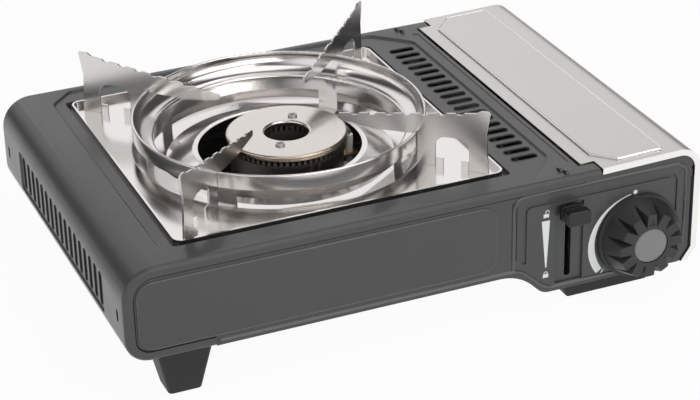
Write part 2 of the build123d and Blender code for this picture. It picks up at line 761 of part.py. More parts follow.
strip_low = (LEVER_X - STRIP_WIDTH / 2, STRIP_BOTTOM_Z)
strip_high = (LEVER_X + STRIP_WIDTH / 2, STRIP_TOP_Z)
slot_half = SHANK_WIDTH / 2 + SHANK_GAP
slot_low = (LEVER_X - slot_half, SLOT_BOTTOM_Z)
slot_high = (LEVER_X + slot_half, LEVER_Z + SHANK_HEIGHT / 2 + SHANK_GAP)

with BuildPart() as front_panel:
    extrude(panel_face(PANEL_BACK), amount=SHEET)
    extrude(bottom_flange(PANEL_BACK + PANEL_FLANGE), amount=PANEL_FLANGE)
    # Raised field in front of the burner box
    extrude(
        rectangle(upright(PANEL_FRONT), field_low, field_high, FIELD_R),
        amount=FIELD_RAISE,
        taper=PRESS_TAPER,
    )
    extrude(
        rectangle(upright(PANEL_BACK), field_low, field_high, FIELD_R),
        amount=FIELD_RAISE,
        taper=PRESS_TAPER,
        mode=Mode.SUBTRACT,
    )
    # Pressed frame and lever strip, each with the sheet carried behind it
    extrude(channel(PANEL_BACK + CHANNEL_DEPTH, CHANNEL_WIDTH + 2 * SHEET, SHEET), amount=CHANNEL_DEPTH)
    backing_low = (strip_low[0] - SHEET, strip_low[1] - SHEET)
    backing_high = (strip_high[0] + SHEET, strip_high[1] + SHEET)
    extrude(rectangle(upright(STRIP_BACK), backing_low, backing_high), amount=STRIP_DEPTH)
    extrude(
        channel(PANEL_FRONT + CHANNEL_DEPTH, CHANNEL_WIDTH, 0),
        amount=CHANNEL_DEPTH + OVERRUN,
        mode=Mode.SUBTRACT,
    )
    extrude(
        rectangle(upright(PANEL_FRONT + STRIP_DEPTH), strip_low, strip_high),
        amount=STRIP_DEPTH + OVERRUN,
        mode=Mode.SUBTRACT,
    )
    slot_corners = [slot_low, (slot_high[0], slot_low[1]), slot_high, (slot_low[0], slot_high[1])]
    slot_radii = [slot_half - RUNNING_FIT, slot_half - RUNNING_FIT, 0, 0]
    extrude(
        outline(upright(STRIP_BACK + OVERRUN), slot_corners, slot_radii),
        amount=2 * OVERRUN,
        mode=Mode.SUBTRACT,
    )
    # Shallow crease beside the frame
    crease_x = RIGHT_X - CREASE_INSET
    crease_low = BELLY_Z + CREASE_BOTTOM_RISE
    crease_high = DECK_Z - CREASE_TOP_DROP
    crease = [(crease_x, (crease_low + crease_high) / 2)]
    extrude(
        slots(upright(PANEL_FRONT + CREASE_DEPTH), crease, crease_high - crease_low, CREASE_WIDTH, 90),
        amount=CREASE_DEPTH + OVERRUN,
        mode=Mode.SUBTRACT,
    )
    extrude(
        disc(upright(PANEL_BACK + OVERRUN), (KNOB_X, KNOB_Z), SPINDLE_HOLE_R),
        amount=SHEET + 2 * OVERRUN,
        mode=Mode.SUBTRACT,
    )
keep(front_panel, "front_panel")

with BuildPart() as rear_panel:
    extrude(panel_face(REAR_Y - SHEET), amount=SHEET)
    extrude(bottom_flange(REAR_INNER), amount=PANEL_FLANGE)
    extrude(
        rectangle(upright(REAR_Y - SHEET), field_low, field_high, FIELD_R),
        amount=-FIELD_RAISE,
        taper=PRESS_TAPER,
    )
    extrude(
        rectangle(upright(REAR_INNER), field_low, field_high, FIELD_R),
        amount=-FIELD_RAISE,
        taper=PRESS_TAPER,
        mode=Mode.SUBTRACT,
    )
keep(rear_panel, "rear_panel")

# Feet with their screws
screw_grip = FOOT_SCREW_LENGTH / 2


def foot_screw_holes(place, top):
    """Screw hole of a foot, opened out from below for the head."""
    extrude(disc(level(top - screw_grip), place, FOOT_SCREW_R), amount=screw_grip, mode=Mode.SUBTRACT)
    extrude(
        disc(level(0), place, FOOT_SCREW_HEAD_R + SEAT_GAP),
        amount=top - screw_grip,
        mode=Mode.SUBTRACT,
    )


for name, place in post_places.items():
    with BuildPart() as post:
        with BuildSketch(level(0)) as tread:
            with Locations(place):
                RectangleRounded(FOOT_BOTTOM_LENGTH, FOOT_BOTTOM_DEPTH, FOOT_R)
        with BuildSketch(level(BELLY_Z)) as head:
            with Locations(place):
                RectangleRounded(FOOT_TOP_LENGTH, FOOT_TOP_DEPTH, FOOT_R)
        loft()
        foot_screw_holes(place, BELLY_Z)
    keep(post, name)

for name, place in runner_places.items():
    with BuildPart() as runner:
        half = RUNNER_LENGTH / 2
        ramp = [
            (place[0] - half, BAY_Z),
            (place[0] + half, BAY_Z),
            (place[0] + half - RUNNER_TOE_SLOPE, 0),
            (place[0] - half + RUNNER_HEEL_SLOPE, 0),
        ]
        extrude(
            outline(upright(place[1] + RUNNER_DEPTH / 2), ramp, [0, 0, RUNNER_R, RUNNER_R]),
            amount=RUNNER_DEPTH,
        )
        foot_screw_holes(place, BAY_Z)
    keep(runner, name)

with BuildPart() as foot_screws:
    for place, top in screw_tops:
        extrude(disc(level(top - screw_grip), place, FOOT_SCREW_R), amount=FOOT_SCREW_LENGTH)
        extrude(
            disc(level(top - screw_grip - FOOT_SCREW_HEAD), place, FOOT_SCREW_HEAD_R),
            amount=FOOT_SCREW_HEAD,
        )
keep(foot_screws, "foot_screws")

# Base plate under the burner and floor of the cartridge bay
with BuildPart() as base_plate:
    extrude(
        rectangle(
            level(BELLY_Z + SHEET),
            (LEFT_X + SHELL_BOTTOM_R, FRONT_Y + EDGE_R),
            (PLATE_END, REAR_Y - EDGE_R),
        ),
        amount=SHEET,
    )
    air_slots = [
        (BURNER_X - AIR_SLOT_OFFSET + place, BURNER_Y) for place in row(AIR_SLOT_COUNT, AIR_SLOT_PITCH)
    ]
    extrude(
        slots(level(BELLY_Z), air_slots, AIR_SLOT_LENGTH, AIR_SLOT_WIDTH, 90),
        amount=OVERRUN,
        mode=Mode.SUBTRACT,
    )
    for place in post_places.values():
        extrude(disc(level(BELLY_Z), place, FOOT_SCREW_R), amount=OVERRUN, mode=Mode.SUBTRACT)
keep(base_plate, "base_plate")

with BuildPart() as bay_floor:
    rise = 3 * SHEET / 2
    floor_path = inward([(panel_right, BAY_WALL_Z), *corner_cut, *step, (PLATE_END, BELLY_Z)], rise)
    floor_radii = [BAY_BEND_R, BAY_BEND_R, STEP_LOW_R - rise, STEP_HIGH_R + rise]
    extrude(strip(upright(REAR_INNER), floor_path, floor_radii, SHEET), amount=REAR_INNER - PANEL_BACK)
    for place in runner_places.values():
        extrude(disc(level(BAY_Z), place, FOOT_SCREW_R), amount=OVERRUN, mode=Mode.SUBTRACT)
keep(bay_floor, "bay_floor")

# Partition between burner box and bay
wall_front = STRIP_BACK
wall_rear = REAR_Y - EDGE_R - SHEET
heat_slot_z = BAY_TOP_Z + HEAT_PLATE_RISE
heat_front = BURNER_Y + HEAT_PLATE_BACK
heat_rear = heat_front + HEAT_PLATE_WIDTH
lead_z = IGNITER_TOP + LEAD_RISE
pusher_front = PUSHER_BACK - PUSHER_THICKNESS - PUSHER_TRAVEL
wall_cut = endwise(PARTITION_X - OVERRUN)

with BuildPart() as partition_wall:
    extrude(
        rectangle(endwise(PARTITION_X), (wall_front, BAY_TOP_Z), (wall_rear, DECK_Z - SHEET)),
        amount=SHEET,
    )
    extrude(
        rectangle(
            level(DECK_Z - 2 * SHEET),
            (PARTITION_X - PARTITION_FLANGE, wall_front),
            (PARTITION_X, wall_rear),
        ),
        amount=SHEET,
    )
    extrude(
        disc(wall_cut, (PIPE_Y, PIPE_Z), PIPE_R + PIPE_HOLE_GAP),
        amount=2 * OVERRUN,
        mode=Mode.SUBTRACT,
    )
    extrude(
        disc(wall_cut, (IGNITER_Y, lead_z), LEAD_R + LEAD_HOLE_GAP),
        amount=2 * OVERRUN,
        mode=Mode.SUBTRACT,
    )
    extrude(
        rectangle(
            wall_cut,
            (heat_front - HEAT_PLATE_GAP, heat_slot_z - HEAT_PLATE_R - SHEET),
            (heat_rear + HEAT_PLATE_GAP, heat_slot_z + SHEET / 2 + HEAT_PLATE_GAP),
        ),
        amount=2 * OVERRUN,
        mode=Mode.SUBTRACT,
    )
    extrude(
        rectangle(
            wall_cut,
            (pusher_front - BAR_GAP, BAR_Z - BAR_GAP),
            (wall_rear + OVERRUN, BAR_Z + PUSHER_HEIGHT + BAR_GAP),
        ),
        amount=2 * OVERRUN,
        mode=Mode.SUBTRACT,
    )
keep(partition_wall, "partition_wall")


# Lid of the cartridge bay, hung on two pins under the deck's ears
def band(side, near, far):
    """Front and back of a band on one side of the stove's middle."""
    return sorted((MID_Y + side * near, MID_Y + side * far))


def lid_section(y, inset):
    toe_run = Vector(-LID_TOE_IN, LID_TOE_Z - LID_TURN_Z)
    slope = LID_RISE / LID_WIDTH
    chain = [
        (LID_LEFT - OVERRUN, LID_Z - OVERRUN * slope),
        (RIGHT_X, LID_Z + LID_RISE),
        (RIGHT_X, LID_TURN_Z),
        (RIGHT_X + 2 * toe_run.X, LID_TURN_Z + 2 * toe_run.Y),
    ]
    corners = inward(chain, inset)
    corners.append((LID_LEFT - OVERRUN, corners[-1][1]))
    return outline(upright(y), corners, [0, LID_R - inset, LID_TURN_R - inset, 0, 0])


lid_plane = Plane(
    origin=(LID_LEFT, MID_Y, LID_Z),
    x_dir=(LID_WIDTH, 0, LID_RISE),
    z_dir=(-LID_RISE, 0, LID_WIDTH),
)
lid_field_half = DEPTH / 2 - LID_FIELD_END
lid_field_right = LID_WIDTH - LID_FIELD_RIGHT
lid_field = [
    (LID_FIELD_LEFT, LID_FIELD_CHAMFER_Y - lid_field_half),
    (LID_FIELD_LEFT + LID_FIELD_CHAMFER_X, -lid_field_half),
    (lid_field_right, -lid_field_half),
    (lid_field_right, lid_field_half),
    (LID_FIELD_LEFT + LID_FIELD_CHAMFER_X, lid_field_half),
    (LID_FIELD_LEFT, lid_field_half - LID_FIELD_CHAMFER_Y),
]
lug_far = LID_NOTCH_HALF - LUG_GAP

with BuildPart() as cartridge_lid:
    extrude(lid_section(REAR_Y, 0), amount=DEPTH)
    extrude(lid_section(REAR_Y - LID_SHEET, LID_SHEET), amount=DEPTH - 2 * LID_SHEET, mode=Mode.SUBTRACT)
    extrude(lid_section(REAR_Y + OVERRUN, LID_FLANGE), amount=DEPTH + 2 * OVERRUN, mode=Mode.SUBTRACT)
    # Raised field and the slots over the shoulder
    extrude(outline(lid_plane, lid_field, [0] * len(lid_field)), amount=LID_FIELD_RAISE, taper=PRESS_TAPER)
    extrude(
        outline(lid_plane.offset(-LID_SHEET), lid_field, [0] * len(lid_field)),
        amount=LID_FIELD_RAISE,
        taper=PRESS_TAPER,
        mode=Mode.SUBTRACT,
    )
    shoulder = [(MID_Y + place, LID_Z - LID_SLOT_DROP) for place in row(LID_SLOT_COUNT, LID_SLOT_PITCH)]
    extrude(
        slots(endwise(RIGHT_X - LID_R / 2), shoulder, LID_SLOT_LENGTH, LID_SLOT_WIDTH, 90),
        amount=LID_R,
        mode=Mode.SUBTRACT,
    )
    # Straight left edge, toe and the notches beside the ears
    trim_low = (LID_LEFT - 2 * OVERRUN, LID_TOE_Z - 3 * OVERRUN)
    trim_high = (LID_LEFT, LID_Z + OVERRUN)
    extrude(
        rectangle(upright(REAR_Y + OVERRUN), trim_low, trim_high),
        amount=DEPTH + 2 * OVERRUN,
        mode=Mode.SUBTRACT,
    )
    toe_high = (RIGHT_X + OVERRUN, LID_TOE_Z)
    extrude(
        rectangle(upright(REAR_Y + OVERRUN), trim_low, toe_high),
        amount=DEPTH + 2 * OVERRUN,
        mode=Mode.SUBTRACT,
    )
    for side in (1, -1):
        notch = band(side, LID_NOTCH_HALF, DEPTH / 2 + OVERRUN)
        extrude(
            rectangle(level(HINGE_Z - 2 * OVERRUN), (LID_LEFT - OVERRUN, notch[0]), (LID_NOTCH, notch[1])),
            amount=3 * OVERRUN,
            mode=Mode.SUBTRACT,
        )
        lug = band(side, lug_far - LUG_THICKNESS, lug_far)
        lug_low = (HINGE_X - LUG_R, HINGE_Z - LUG_R)
        lug_high = (HINGE_X + LUG_R, LID_Z - LID_SHEET / 2)
        extrude(rectangle(upright(lug[1]), lug_low, lug_high), amount=LUG_THICKNESS)
        extrude(
            disc(upright(lug[1] + OVERRUN), (HINGE_X, HINGE_Z), HINGE_PIN_R + RUNNING_FIT),
            amount=LUG_THICKNESS + 2 * OVERRUN,
            mode=Mode.SUBTRACT,
        )
keep(cartridge_lid, "cartridge_lid")

with BuildPart() as hinge_brackets:
    bracket_left = PARTITION_X + SHEET + BRACKET_GAP
    bracket_right = EAR_END - BRACKET_GAP
    for side in (1, -1):
        cheek = band(side, EAR_HALF - SHEET, EAR_HALF)
        cheek_low = (bracket_left, HINGE_Z - BRACKET_DROP)
        extrude(
            rectangle(upright(cheek[1]), cheek_low, (bracket_right, DECK_Z - SHEET)),
            amount=SHEET,
        )
        wing = band(side, EAR_HALF - SHEET, EAR_HALF + BRACKET_FLANGE)
        extrude(
            rectangle(level(DECK_Z - 2 * SHEET), (bracket_left, wing[0]), (bracket_right, wing[1])),
            amount=SHEET,
        )
        extrude(
            disc(upright(cheek[1]), (HINGE_X, HINGE_Z), HINGE_PIN_R),
            amount=SHEET,
            mode=Mode.SUBTRACT,
        )
keep(hinge_brackets, "hinge_brackets")

with BuildPart() as hinge_pins:
    for side in (1, -1):
        pin = band(side, EAR_HALF - HINGE_PIN_LENGTH, EAR_HALF)
        extrude(disc(upright(pin[1]), (HINGE_X, HINGE_Z), HINGE_PIN_R), amount=HINGE_PIN_LENGTH)
keep(hinge_pins, "hinge_pins")


# Drip tray with its round trough
def radial_plane(angle, x=TRAY_X, y=TRAY_Y, z=0):
    """Upright plane through an axis, with the local x pointing outward."""
    turn = radians(angle)
    return Plane(origin=(x, y, z), x_dir=(cos(turn), sin(turn), 0), z_dir=(sin(turn), -cos(turn), 0))


tray_axis = Axis((TRAY_X, TRAY_Y, 0), (0, 0, 1))
arm_angles = [(index + 0.5) * 360 / ARM_COUNT for index in range(ARM_COUNT)]
notch_inner = RING_R - RING_SHEET - RING_BEAD - ARM_RING_GAP
notch_outer = RING_R + ARM_RING_GAP
arch_inner = notch_outer + ARM_LEG_WIDTH
arch_outer = ARM_REACH - ARM_HEEL - ARM_FOOT_WIDTH

with BuildPart() as drip_tray:
    extrude(square(level(TRAY_SEAT_Z), tray_centre, TRAY_SIZE / 2, TRAY_R), amount=DECK_Z - TRAY_SEAT_Z)
    extrude(
        square(level(TRAY_FLOOR_Z), tray_centre, TRAY_SIZE / 2 - TRAY_RIM_WIDTH, TRAY_R - TRAY_RIM_WIDTH),
        amount=DECK_Z - TRAY_FLOOR_Z,
        mode=Mode.SUBTRACT,
    )
    extrude(disc(level(TRAY_SEAT_Z), tray_centre, TROUGH_R), amount=TRAY_SHEET, mode=Mode.SUBTRACT)
    floor_line = TRAY_FLOOR_Z - TRAY_SHEET / 2
    trough_line = TROUGH_Z - TRAY_SHEET / 2
    trough = [
        (TROUGH_R + TROUGH_LAP, floor_line),
        (TROUGH_R, floor_line),
        (TROUGH_R - TROUGH_WALL_RUN, trough_line),
        (TROUGH_FLOOR_R, trough_line),
        (COLLAR_R, trough_line + COLLAR_RISE),
        (BURNER_OPENING_R, trough_line + COLLAR_RISE),
    ]
    revolve(strip(radial_plane(0), trough, [TROUGH_BEND_R / 2] * 4, TRAY_SHEET), axis=tray_axis)
    # Tongues that hold the pan supports by their feet
    for angle in arm_angles:
        for start in (arch_inner + ARM_RING_GAP, arch_outer - ARM_RING_GAP - CLIP_WIDTH):
            tongue = rectangle(
                radial_plane(angle),
                (start, TRAY_FLOOR_Z),
                (start + CLIP_WIDTH, TRAY_FLOOR_Z + CLIP_HEIGHT),
            )
            extrude(tongue, amount=CLIP_THICKNESS / 2, both=True)
keep(drip_tray, "drip_tray")

# Wind ring, standing in the trough on four legs
with BuildPart() as wind_ring:
    hem_line = RING_R - RING_SHEET / 2
    bowl_line = hem_line - RING_BEAD
    top_line = DECK_Z + RING_TOP - RING_SHEET / 2
    bowl_z = top_line - RING_BOWL_DEPTH
    bead_r = RING_BEAD * BEAD_R_SHARE
    profile = [
        (hem_line, top_line - RING_HEM),
        (hem_line, top_line),
        (bowl_line, top_line),
        (bowl_line, bowl_z),
        (RING_SKIRT_R, bowl_z),
        (RING_SKIRT_R, TROUGH_Z),
    ]
    profile_radii = [bead_r, bead_r, RING_BOWL_R, RING_SKIRT_BEND]
    revolve(strip(radial_plane(0), profile, profile_radii, RING_SHEET), axis=tray_axis)
    with BuildSketch(level(TROUGH_Z - OVERRUN)) as windows:
        with Locations(tray_centre):
            Circle(RING_SKIRT_R + OVERRUN)
            Circle(RING_SKIRT_R - OVERRUN, mode=Mode.SUBTRACT)
            for angle in arm_angles[: ARM_COUNT // 2]:
                Rectangle(
                    2 * RING_SKIRT_R + 4 * OVERRUN,
                    RING_LEG_WIDTH,
                    rotation=angle,
                    mode=Mode.SUBTRACT,
                )
    extrude(amount=DECK_Z - RING_SKIRT_END - TROUGH_Z + OVERRUN, mode=Mode.SUBTRACT)
keep(wind_ring, "wind_ring")

# Pan supports: stamped plates across the ring, with a toothed edge
arm_foot = -TRAY_FLOOR_DROP
rack_outer = (ARM_REACH - ARM_HORN_WIDTH - ARM_HORN_RUN, ARM_HORN_TOP - ARM_HORN_DROP)
rack_inner = (ARM_TIP_R, ARM_TIP_TOP)
rack_slope = (rack_outer[1] - rack_inner[1]) / (rack_outer[0] - rack_inner[0])
arm_corners = [
    (ARM_REACH - ARM_HEEL, arm_foot),
    (ARM_REACH - ARM_NECK, ARM_NECK_Z),
    (ARM_REACH, ARM_HORN_TOP),
    (ARM_REACH - ARM_HORN_WIDTH, ARM_HORN_TOP),
    rack_outer,
    rack_inner,
    (ARM_TIP_R, ARM_TIP_TOP - ARM_TIP_HEIGHT),
    (ARM_BELLY_R, ARM_BELLY_TOP),
    (notch_inner, ARM_SILL),
    (notch_inner, RING_TOP + ARM_RING_GAP),
    (notch_outer, RING_TOP + ARM_RING_GAP),
    (notch_outer, arm_foot),
    (arch_inner, arm_foot),
    (arch_inner, ARM_ARCH_TOP),
    (arch_outer, ARM_ARCH_TOP),
    (arch_outer, arm_foot),
]
arm_radii = [0, 0, ARM_TIP_ROUND_R, ARM_TIP_ROUND_R, ARM_TIP_ROUND_R, ARM_TIP_ROUND_R, ARM_TIP_ROUND_R]
arm_radii += [ARM_BELLY_ROUND_R, 0, 0, 0, 0, 0, ARM_ROUND_R, ARM_ROUND_R, 0]
support_names = ["rear_right", "rear_left", "front_left", "front_right"]
for name, angle in zip(support_names, arm_angles):
    arm_plane = radial_plane(angle, z=DECK_Z)
    with BuildPart() as pan_support:
        extrude(outline(arm_plane, arm_corners, arm_radii), amount=ARM_THICKNESS / 2, both=True)
        teeth = []
        for index in range(ARM_NOTCH_COUNT):
            reach = ARM_NOTCH_START + index * ARM_NOTCH_PITCH
            edge_z = ARM_TIP_TOP + (reach - ARM_TIP_R) * rack_slope
            teeth.append((reach, edge_z + ARM_NOTCH_R - ARM_NOTCH_DEPTH))
        with BuildSketch(arm_plane) as dips:
            with Locations(*teeth):
                Circle(ARM_NOTCH_R)
        extrude(amount=ARM_THICKNESS, both=True, mode=Mode.SUBTRACT)
    keep(pan_support, f"pan_support_{name}")

# Burner on its stand
burner_centre = (BURNER_X, BURNER_Y)
cap_turn = radians(CAP_SCREW_ANGLE)
cap_screw_places = [
    (
        BURNER_X + side * CAP_SCREW_CIRCLE_R * cos(cap_turn),
        BURNER_Y + side * CAP_SCREW_CIRCLE_R * sin(cap_turn),
    )
    for side in (1, -1)
]
mixer_turn = radians(MIXER_ANGLE)
mixer_way = Vector(cos(mixer_turn), sin(mixer_turn), 0)
burner_core = Vector(BURNER_X, BURNER_Y, MIXER_Z)
mixer_axis = Axis(burner_core, mixer_way)
mixer_plane = radial_plane(MIXER_ANGLE, BURNER_X, BURNER_Y, MIXER_Z)
inner_wall_r = CAP_HOLE_R + BURNER_WALL
cavity_r = BURNER_R - BURNER_WALL

with BuildPart() as burner_stand:
    foot_line = BASE_TOP_Z + STAND_SHEET / 2
    seat_line = BURNER_FOOT_Z - STAND_SHEET / 2
    half = STAND_SPAN / 2
    trestle = [
        (BURNER_X - half - STAND_FOOT, foot_line),
        (BURNER_X - half, foot_line),
        (BURNER_X - half, seat_line),
        (BURNER_X + half, seat_line),
        (BURNER_X + half, foot_line),
        (BURNER_X + half + STAND_FOOT, foot_line),
    ]
    extrude(
        strip(upright(BURNER_Y + STAND_WIDTH / 2), trestle, [STAND_BEND_R] * 4, STAND_SHEET),
        amount=STAND_WIDTH,
    )
    extrude(
        disc(level(seat_line - OVERRUN), burner_centre, CAP_HOLE_R),
        amount=2 * OVERRUN,
        mode=Mode.SUBTRACT,
    )
keep(burner_stand, "burner_stand")

with BuildPart() as burner_body:
    extrude(disc(level(BURNER_FOOT_Z), burner_centre, BURNER_R), amount=BURNER_HEIGHT)
    extrude(
        disc(level(CAP_Z - PORT_HEIGHT - BURNER_FLANGE_THICKNESS), burner_centre, BURNER_FLANGE_R),
        amount=BURNER_FLANGE_THICKNESS,
    )
    with BuildSketch(level(BURNER_FOOT_Z + BURNER_WALL)) as cavity:
        with Locations(burner_centre):
            Circle(cavity_r)
            Circle(inner_wall_r, mode=Mode.SUBTRACT)
        with Locations(*cap_screw_places):
            Circle(BOSS_R, mode=Mode.SUBTRACT)
    extrude(amount=BURNER_HEIGHT, mode=Mode.SUBTRACT)
    extrude(disc(level(BURNER_FOOT_Z), burner_centre, CAP_HOLE_R), amount=BURNER_HEIGHT, mode=Mode.SUBTRACT)
    # Flame ports round the outside and round the middle hole
    with BuildSketch(level(CAP_Z - PORT_HEIGHT)) as ports:
        with Locations(burner_centre):
            with PolarLocations(BURNER_R - BURNER_WALL / 2, PORT_COUNT):
                Rectangle(2 * BURNER_WALL, PORT_WIDTH)
            with PolarLocations(CAP_HOLE_R + BURNER_WALL / 2, INNER_PORT_COUNT):
                Rectangle(2 * BURNER_WALL, PORT_WIDTH)
    extrude(amount=PORT_HEIGHT, mode=Mode.SUBTRACT)
    inlet = Plane(origin=burner_core + mixer_way * (inner_wall_r + BURNER_WALL), z_dir=mixer_way)
    extrude(disc(inlet, (0, 0), MIXER_R - MIXER_WALL), amount=BURNER_R, mode=Mode.SUBTRACT)
    for place in cap_screw_places:
        extrude(
            disc(level(CAP_Z + CAP_THICKNESS - CAP_SCREW_LENGTH), place, CAP_SCREW_R),
            amount=CAP_SCREW_LENGTH,
            mode=Mode.SUBTRACT,
        )
keep(burner_body, "burner_body")

with BuildPart() as burner_cap:
    extrude(disc(level(CAP_Z), burner_centre, CAP_R), amount=CAP_THICKNESS)
    extrude(disc(level(CAP_Z), burner_centre, CAP_HOLE_R), amount=CAP_THICKNESS, mode=Mode.SUBTRACT)
    fillet(burner_cap.faces().sort_by(Axis.Z)[-1].edges(), CAP_EDGE_R)
    for place in cap_screw_places:
        extrude(disc(level(CAP_Z), place, CAP_SCREW_R), amount=CAP_THICKNESS, mode=Mode.SUBTRACT)
keep(burner_cap, "burner_cap")

with BuildPart() as burner_cap_screws:
    for place in cap_screw_places:
        extrude(
            disc(level(CAP_Z + CAP_THICKNESS - CAP_SCREW_LENGTH), place, CAP_SCREW_R),
            amount=CAP_SCREW_LENGTH,
        )
        extrude(disc(level(CAP_Z + CAP_THICKNESS), place, CAP_SCREW_HEAD_R), amount=CAP_SCREW_HEAD)
keep(burner_cap_screws, "burner_cap_screws")

# Forked clip on the burner's front
with BuildPart() as burner_clip:
    clip_x = BURNER_X + CLIP_SPAN / 2
    clip_back = BURNER_Y - BURNER_FLANGE_R - CLIP_PRONG
    clip_top = CAP_Z - PORT_HEIGHT
    clip_foot = clip_top - CLIP_LENGTH
    extrude(
        rectangle(
            level(clip_foot),
            (clip_x - CLIP_SPAN / 2, clip_back - CLIP_PRONG),
            (clip_x + CLIP_SPAN / 2, BURNER_Y),
        ),
        amount=CLIP_REACH,
    )
    extrude(disc(level(clip_foot), burner_centre, BURNER_R), amount=CLIP_REACH, mode=Mode.SUBTRACT)
    for side in (1, -1):
        prong_x = clip_x + side * (CLIP_SPAN - CLIP_PRONG) / 2
        extrude(
            rectangle(
                level(clip_foot),
                (prong_x - CLIP_PRONG / 2, clip_back - CLIP_PRONG),
                (prong_x + CLIP_PRONG / 2, clip_back),
            ),
            amount=CLIP_LENGTH,
        )
keep(burner_clip, "burner_clip")

# Mixing tube, jet and gas pipe
with BuildPart() as mixing_tube:
    tube_line = MIXER_R - MIXER_WALL / 2
    bell_line = MIXER_BELL_R - MIXER_WALL / 2
    tube = [(cavity_r, tube_line), (MIXER_END - MIXER_BELL_LENGTH, tube_line), (MIXER_END, bell_line)]
    revolve(strip(mixer_plane, tube, [MIXER_BELL_LENGTH], MIXER_WALL), axis=mixer_axis)
    extrude(disc(level(BURNER_FOOT_Z), burner_centre, BURNER_R), amount=BURNER_HEIGHT, mode=Mode.SUBTRACT)
keep(mixing_tube, "mixing_tube")

with BuildPart() as jet_nozzle:
    jet_start = MIXER_END - JET_LAP
    jet = [
        (jet_start, JET_BORE_R),
        (jet_start, JET_TIP_R),
        (jet_start + JET_TIP_LENGTH, JET_TIP_R),
        (jet_start + JET_TIP_LENGTH, JET_BODY_R),
        (JET_END, JET_BODY_R),
        (JET_END, JET_BORE_R),
    ]
    revolve(outline(mixer_plane, jet, [0] * len(jet)), axis=mixer_axis)
keep(jet_nozzle, "jet_nozzle")


def tube_along(corners, bend, radius, bore=0):
    """Round rod or pipe along a line of corners with rounded bends."""
    with BuildPart() as rod:
        with BuildLine() as path:
            FilletPolyline(*corners, radius=bend)
        with BuildSketch(Plane(origin=path.line @ 0, z_dir=path.line % 0)):
            Circle(radius)
            if bore:
                Circle(bore, mode=Mode.SUBTRACT)
        sweep()
    return rod


jet_inlet = burner_core + mixer_way * JET_END
pipe_corners = [
    Vector(REGULATOR_LEFT, PIPE_Y, PIPE_Z),
    Vector(PARTITION_X - PIPE_TURN_INSET, PIPE_Y, PIPE_Z),
    jet_inlet + mixer_way * PIPE_RUN,
    jet_inlet,
]
gas_pipe = tube_along(pipe_corners, PIPE_BEND_R, PIPE_R, PIPE_BORE_R)
keep(gas_pipe, "gas_pipe")

# Spark electrode beside the burner
electrode_place = (ELECTRODE_X, ELECTRODE_Y)
with BuildPart() as electrode_ceramic:
    extrude(disc(level(CERAMIC_FOOT_Z), electrode_place, CERAMIC_R), amount=CERAMIC_LENGTH)
keep(electrode_ceramic, "electrode_ceramic")

tip_z = CERAMIC_TOP_Z + ELECTRODE_RISE
electrode_corners = [
    (ELECTRODE_X, ELECTRODE_Y, CERAMIC_TOP_Z),
    (ELECTRODE_X, ELECTRODE_Y, CERAMIC_TOP_Z + ELECTRODE_RISE / 2),
    (ELECTRODE_X - ELECTRODE_LEAN, ELECTRODE_Y, tip_z),
]
spark_electrode = tube_along(electrode_corners, ELECTRODE_BEND_R, ELECTRODE_R)
keep(spark_electrode, "spark_electrode")

with BuildPart() as electrode_holder:
    holder_z = CERAMIC_TOP_Z - HOLDER_DROP
    extrude(
        rectangle(
            level(holder_z),
            (BURNER_X + cavity_r, ELECTRODE_Y - HOLDER_WIDTH / 2),
            (ELECTRODE_X + HOLDER_WIDTH / 2, ELECTRODE_Y + HOLDER_WIDTH / 2),
        ),
        amount=HOLDER_THICKNESS,
    )
    extrude(disc(level(holder_z), burner_centre, BURNER_R), amount=HOLDER_THICKNESS, mode=Mode.SUBTRACT)
    extrude(disc(level(holder_z), electrode_place, CERAMIC_R), amount=HOLDER_THICKNESS, mode=Mode.SUBTRACT)
keep(electrode_holder, "electrode_holder")

# Heat plate from the burner to the cartridge
with BuildPart() as heat_plate:
    plate_x = PARTITION_X + 3 * SHEET / 2
    plate_z = BAY_TOP_Z + SHEET / 2
    bent = [
        (plate_x + HEAT_PLATE_UNDER, plate_z),
        (plate_x, plate_z),
        (plate_x, heat_slot_z),
        (plate_x - HEAT_PLATE_REACH, heat_slot_z),
    ]
    extrude(strip(upright(heat_rear), bent, [HEAT_PLATE_R] * 2, SHEET), amount=HEAT_PLATE_WIDTH)
keep(heat_plate, "heat_plate")

# Regulator behind the control panel
cartridge_place = (CARTRIDGE_X, CARTRIDGE_Z)
knob_place = (KNOB_X, KNOB_Z)
cover_centre = (CARTRIDGE_X, (REGULATOR_FRONT + REGULATOR_BACK) / 2)
cover_turns = [radians((index + 0.5) * 360 / COVER_SCREW_COUNT) for index in range(COVER_SCREW_COUNT)]
cover_screws = [
    (cover_centre[0] + COVER_SCREW_CIRCLE_R * cos(turn), cover_centre[1] + COVER_SCREW_CIRCLE_R * sin(turn))
    for turn in cover_turns
]
cover_top = REGULATOR_TOP + COVER_THICKNESS
socket_back = REGULATOR_BACK + SOCKET_BOSS

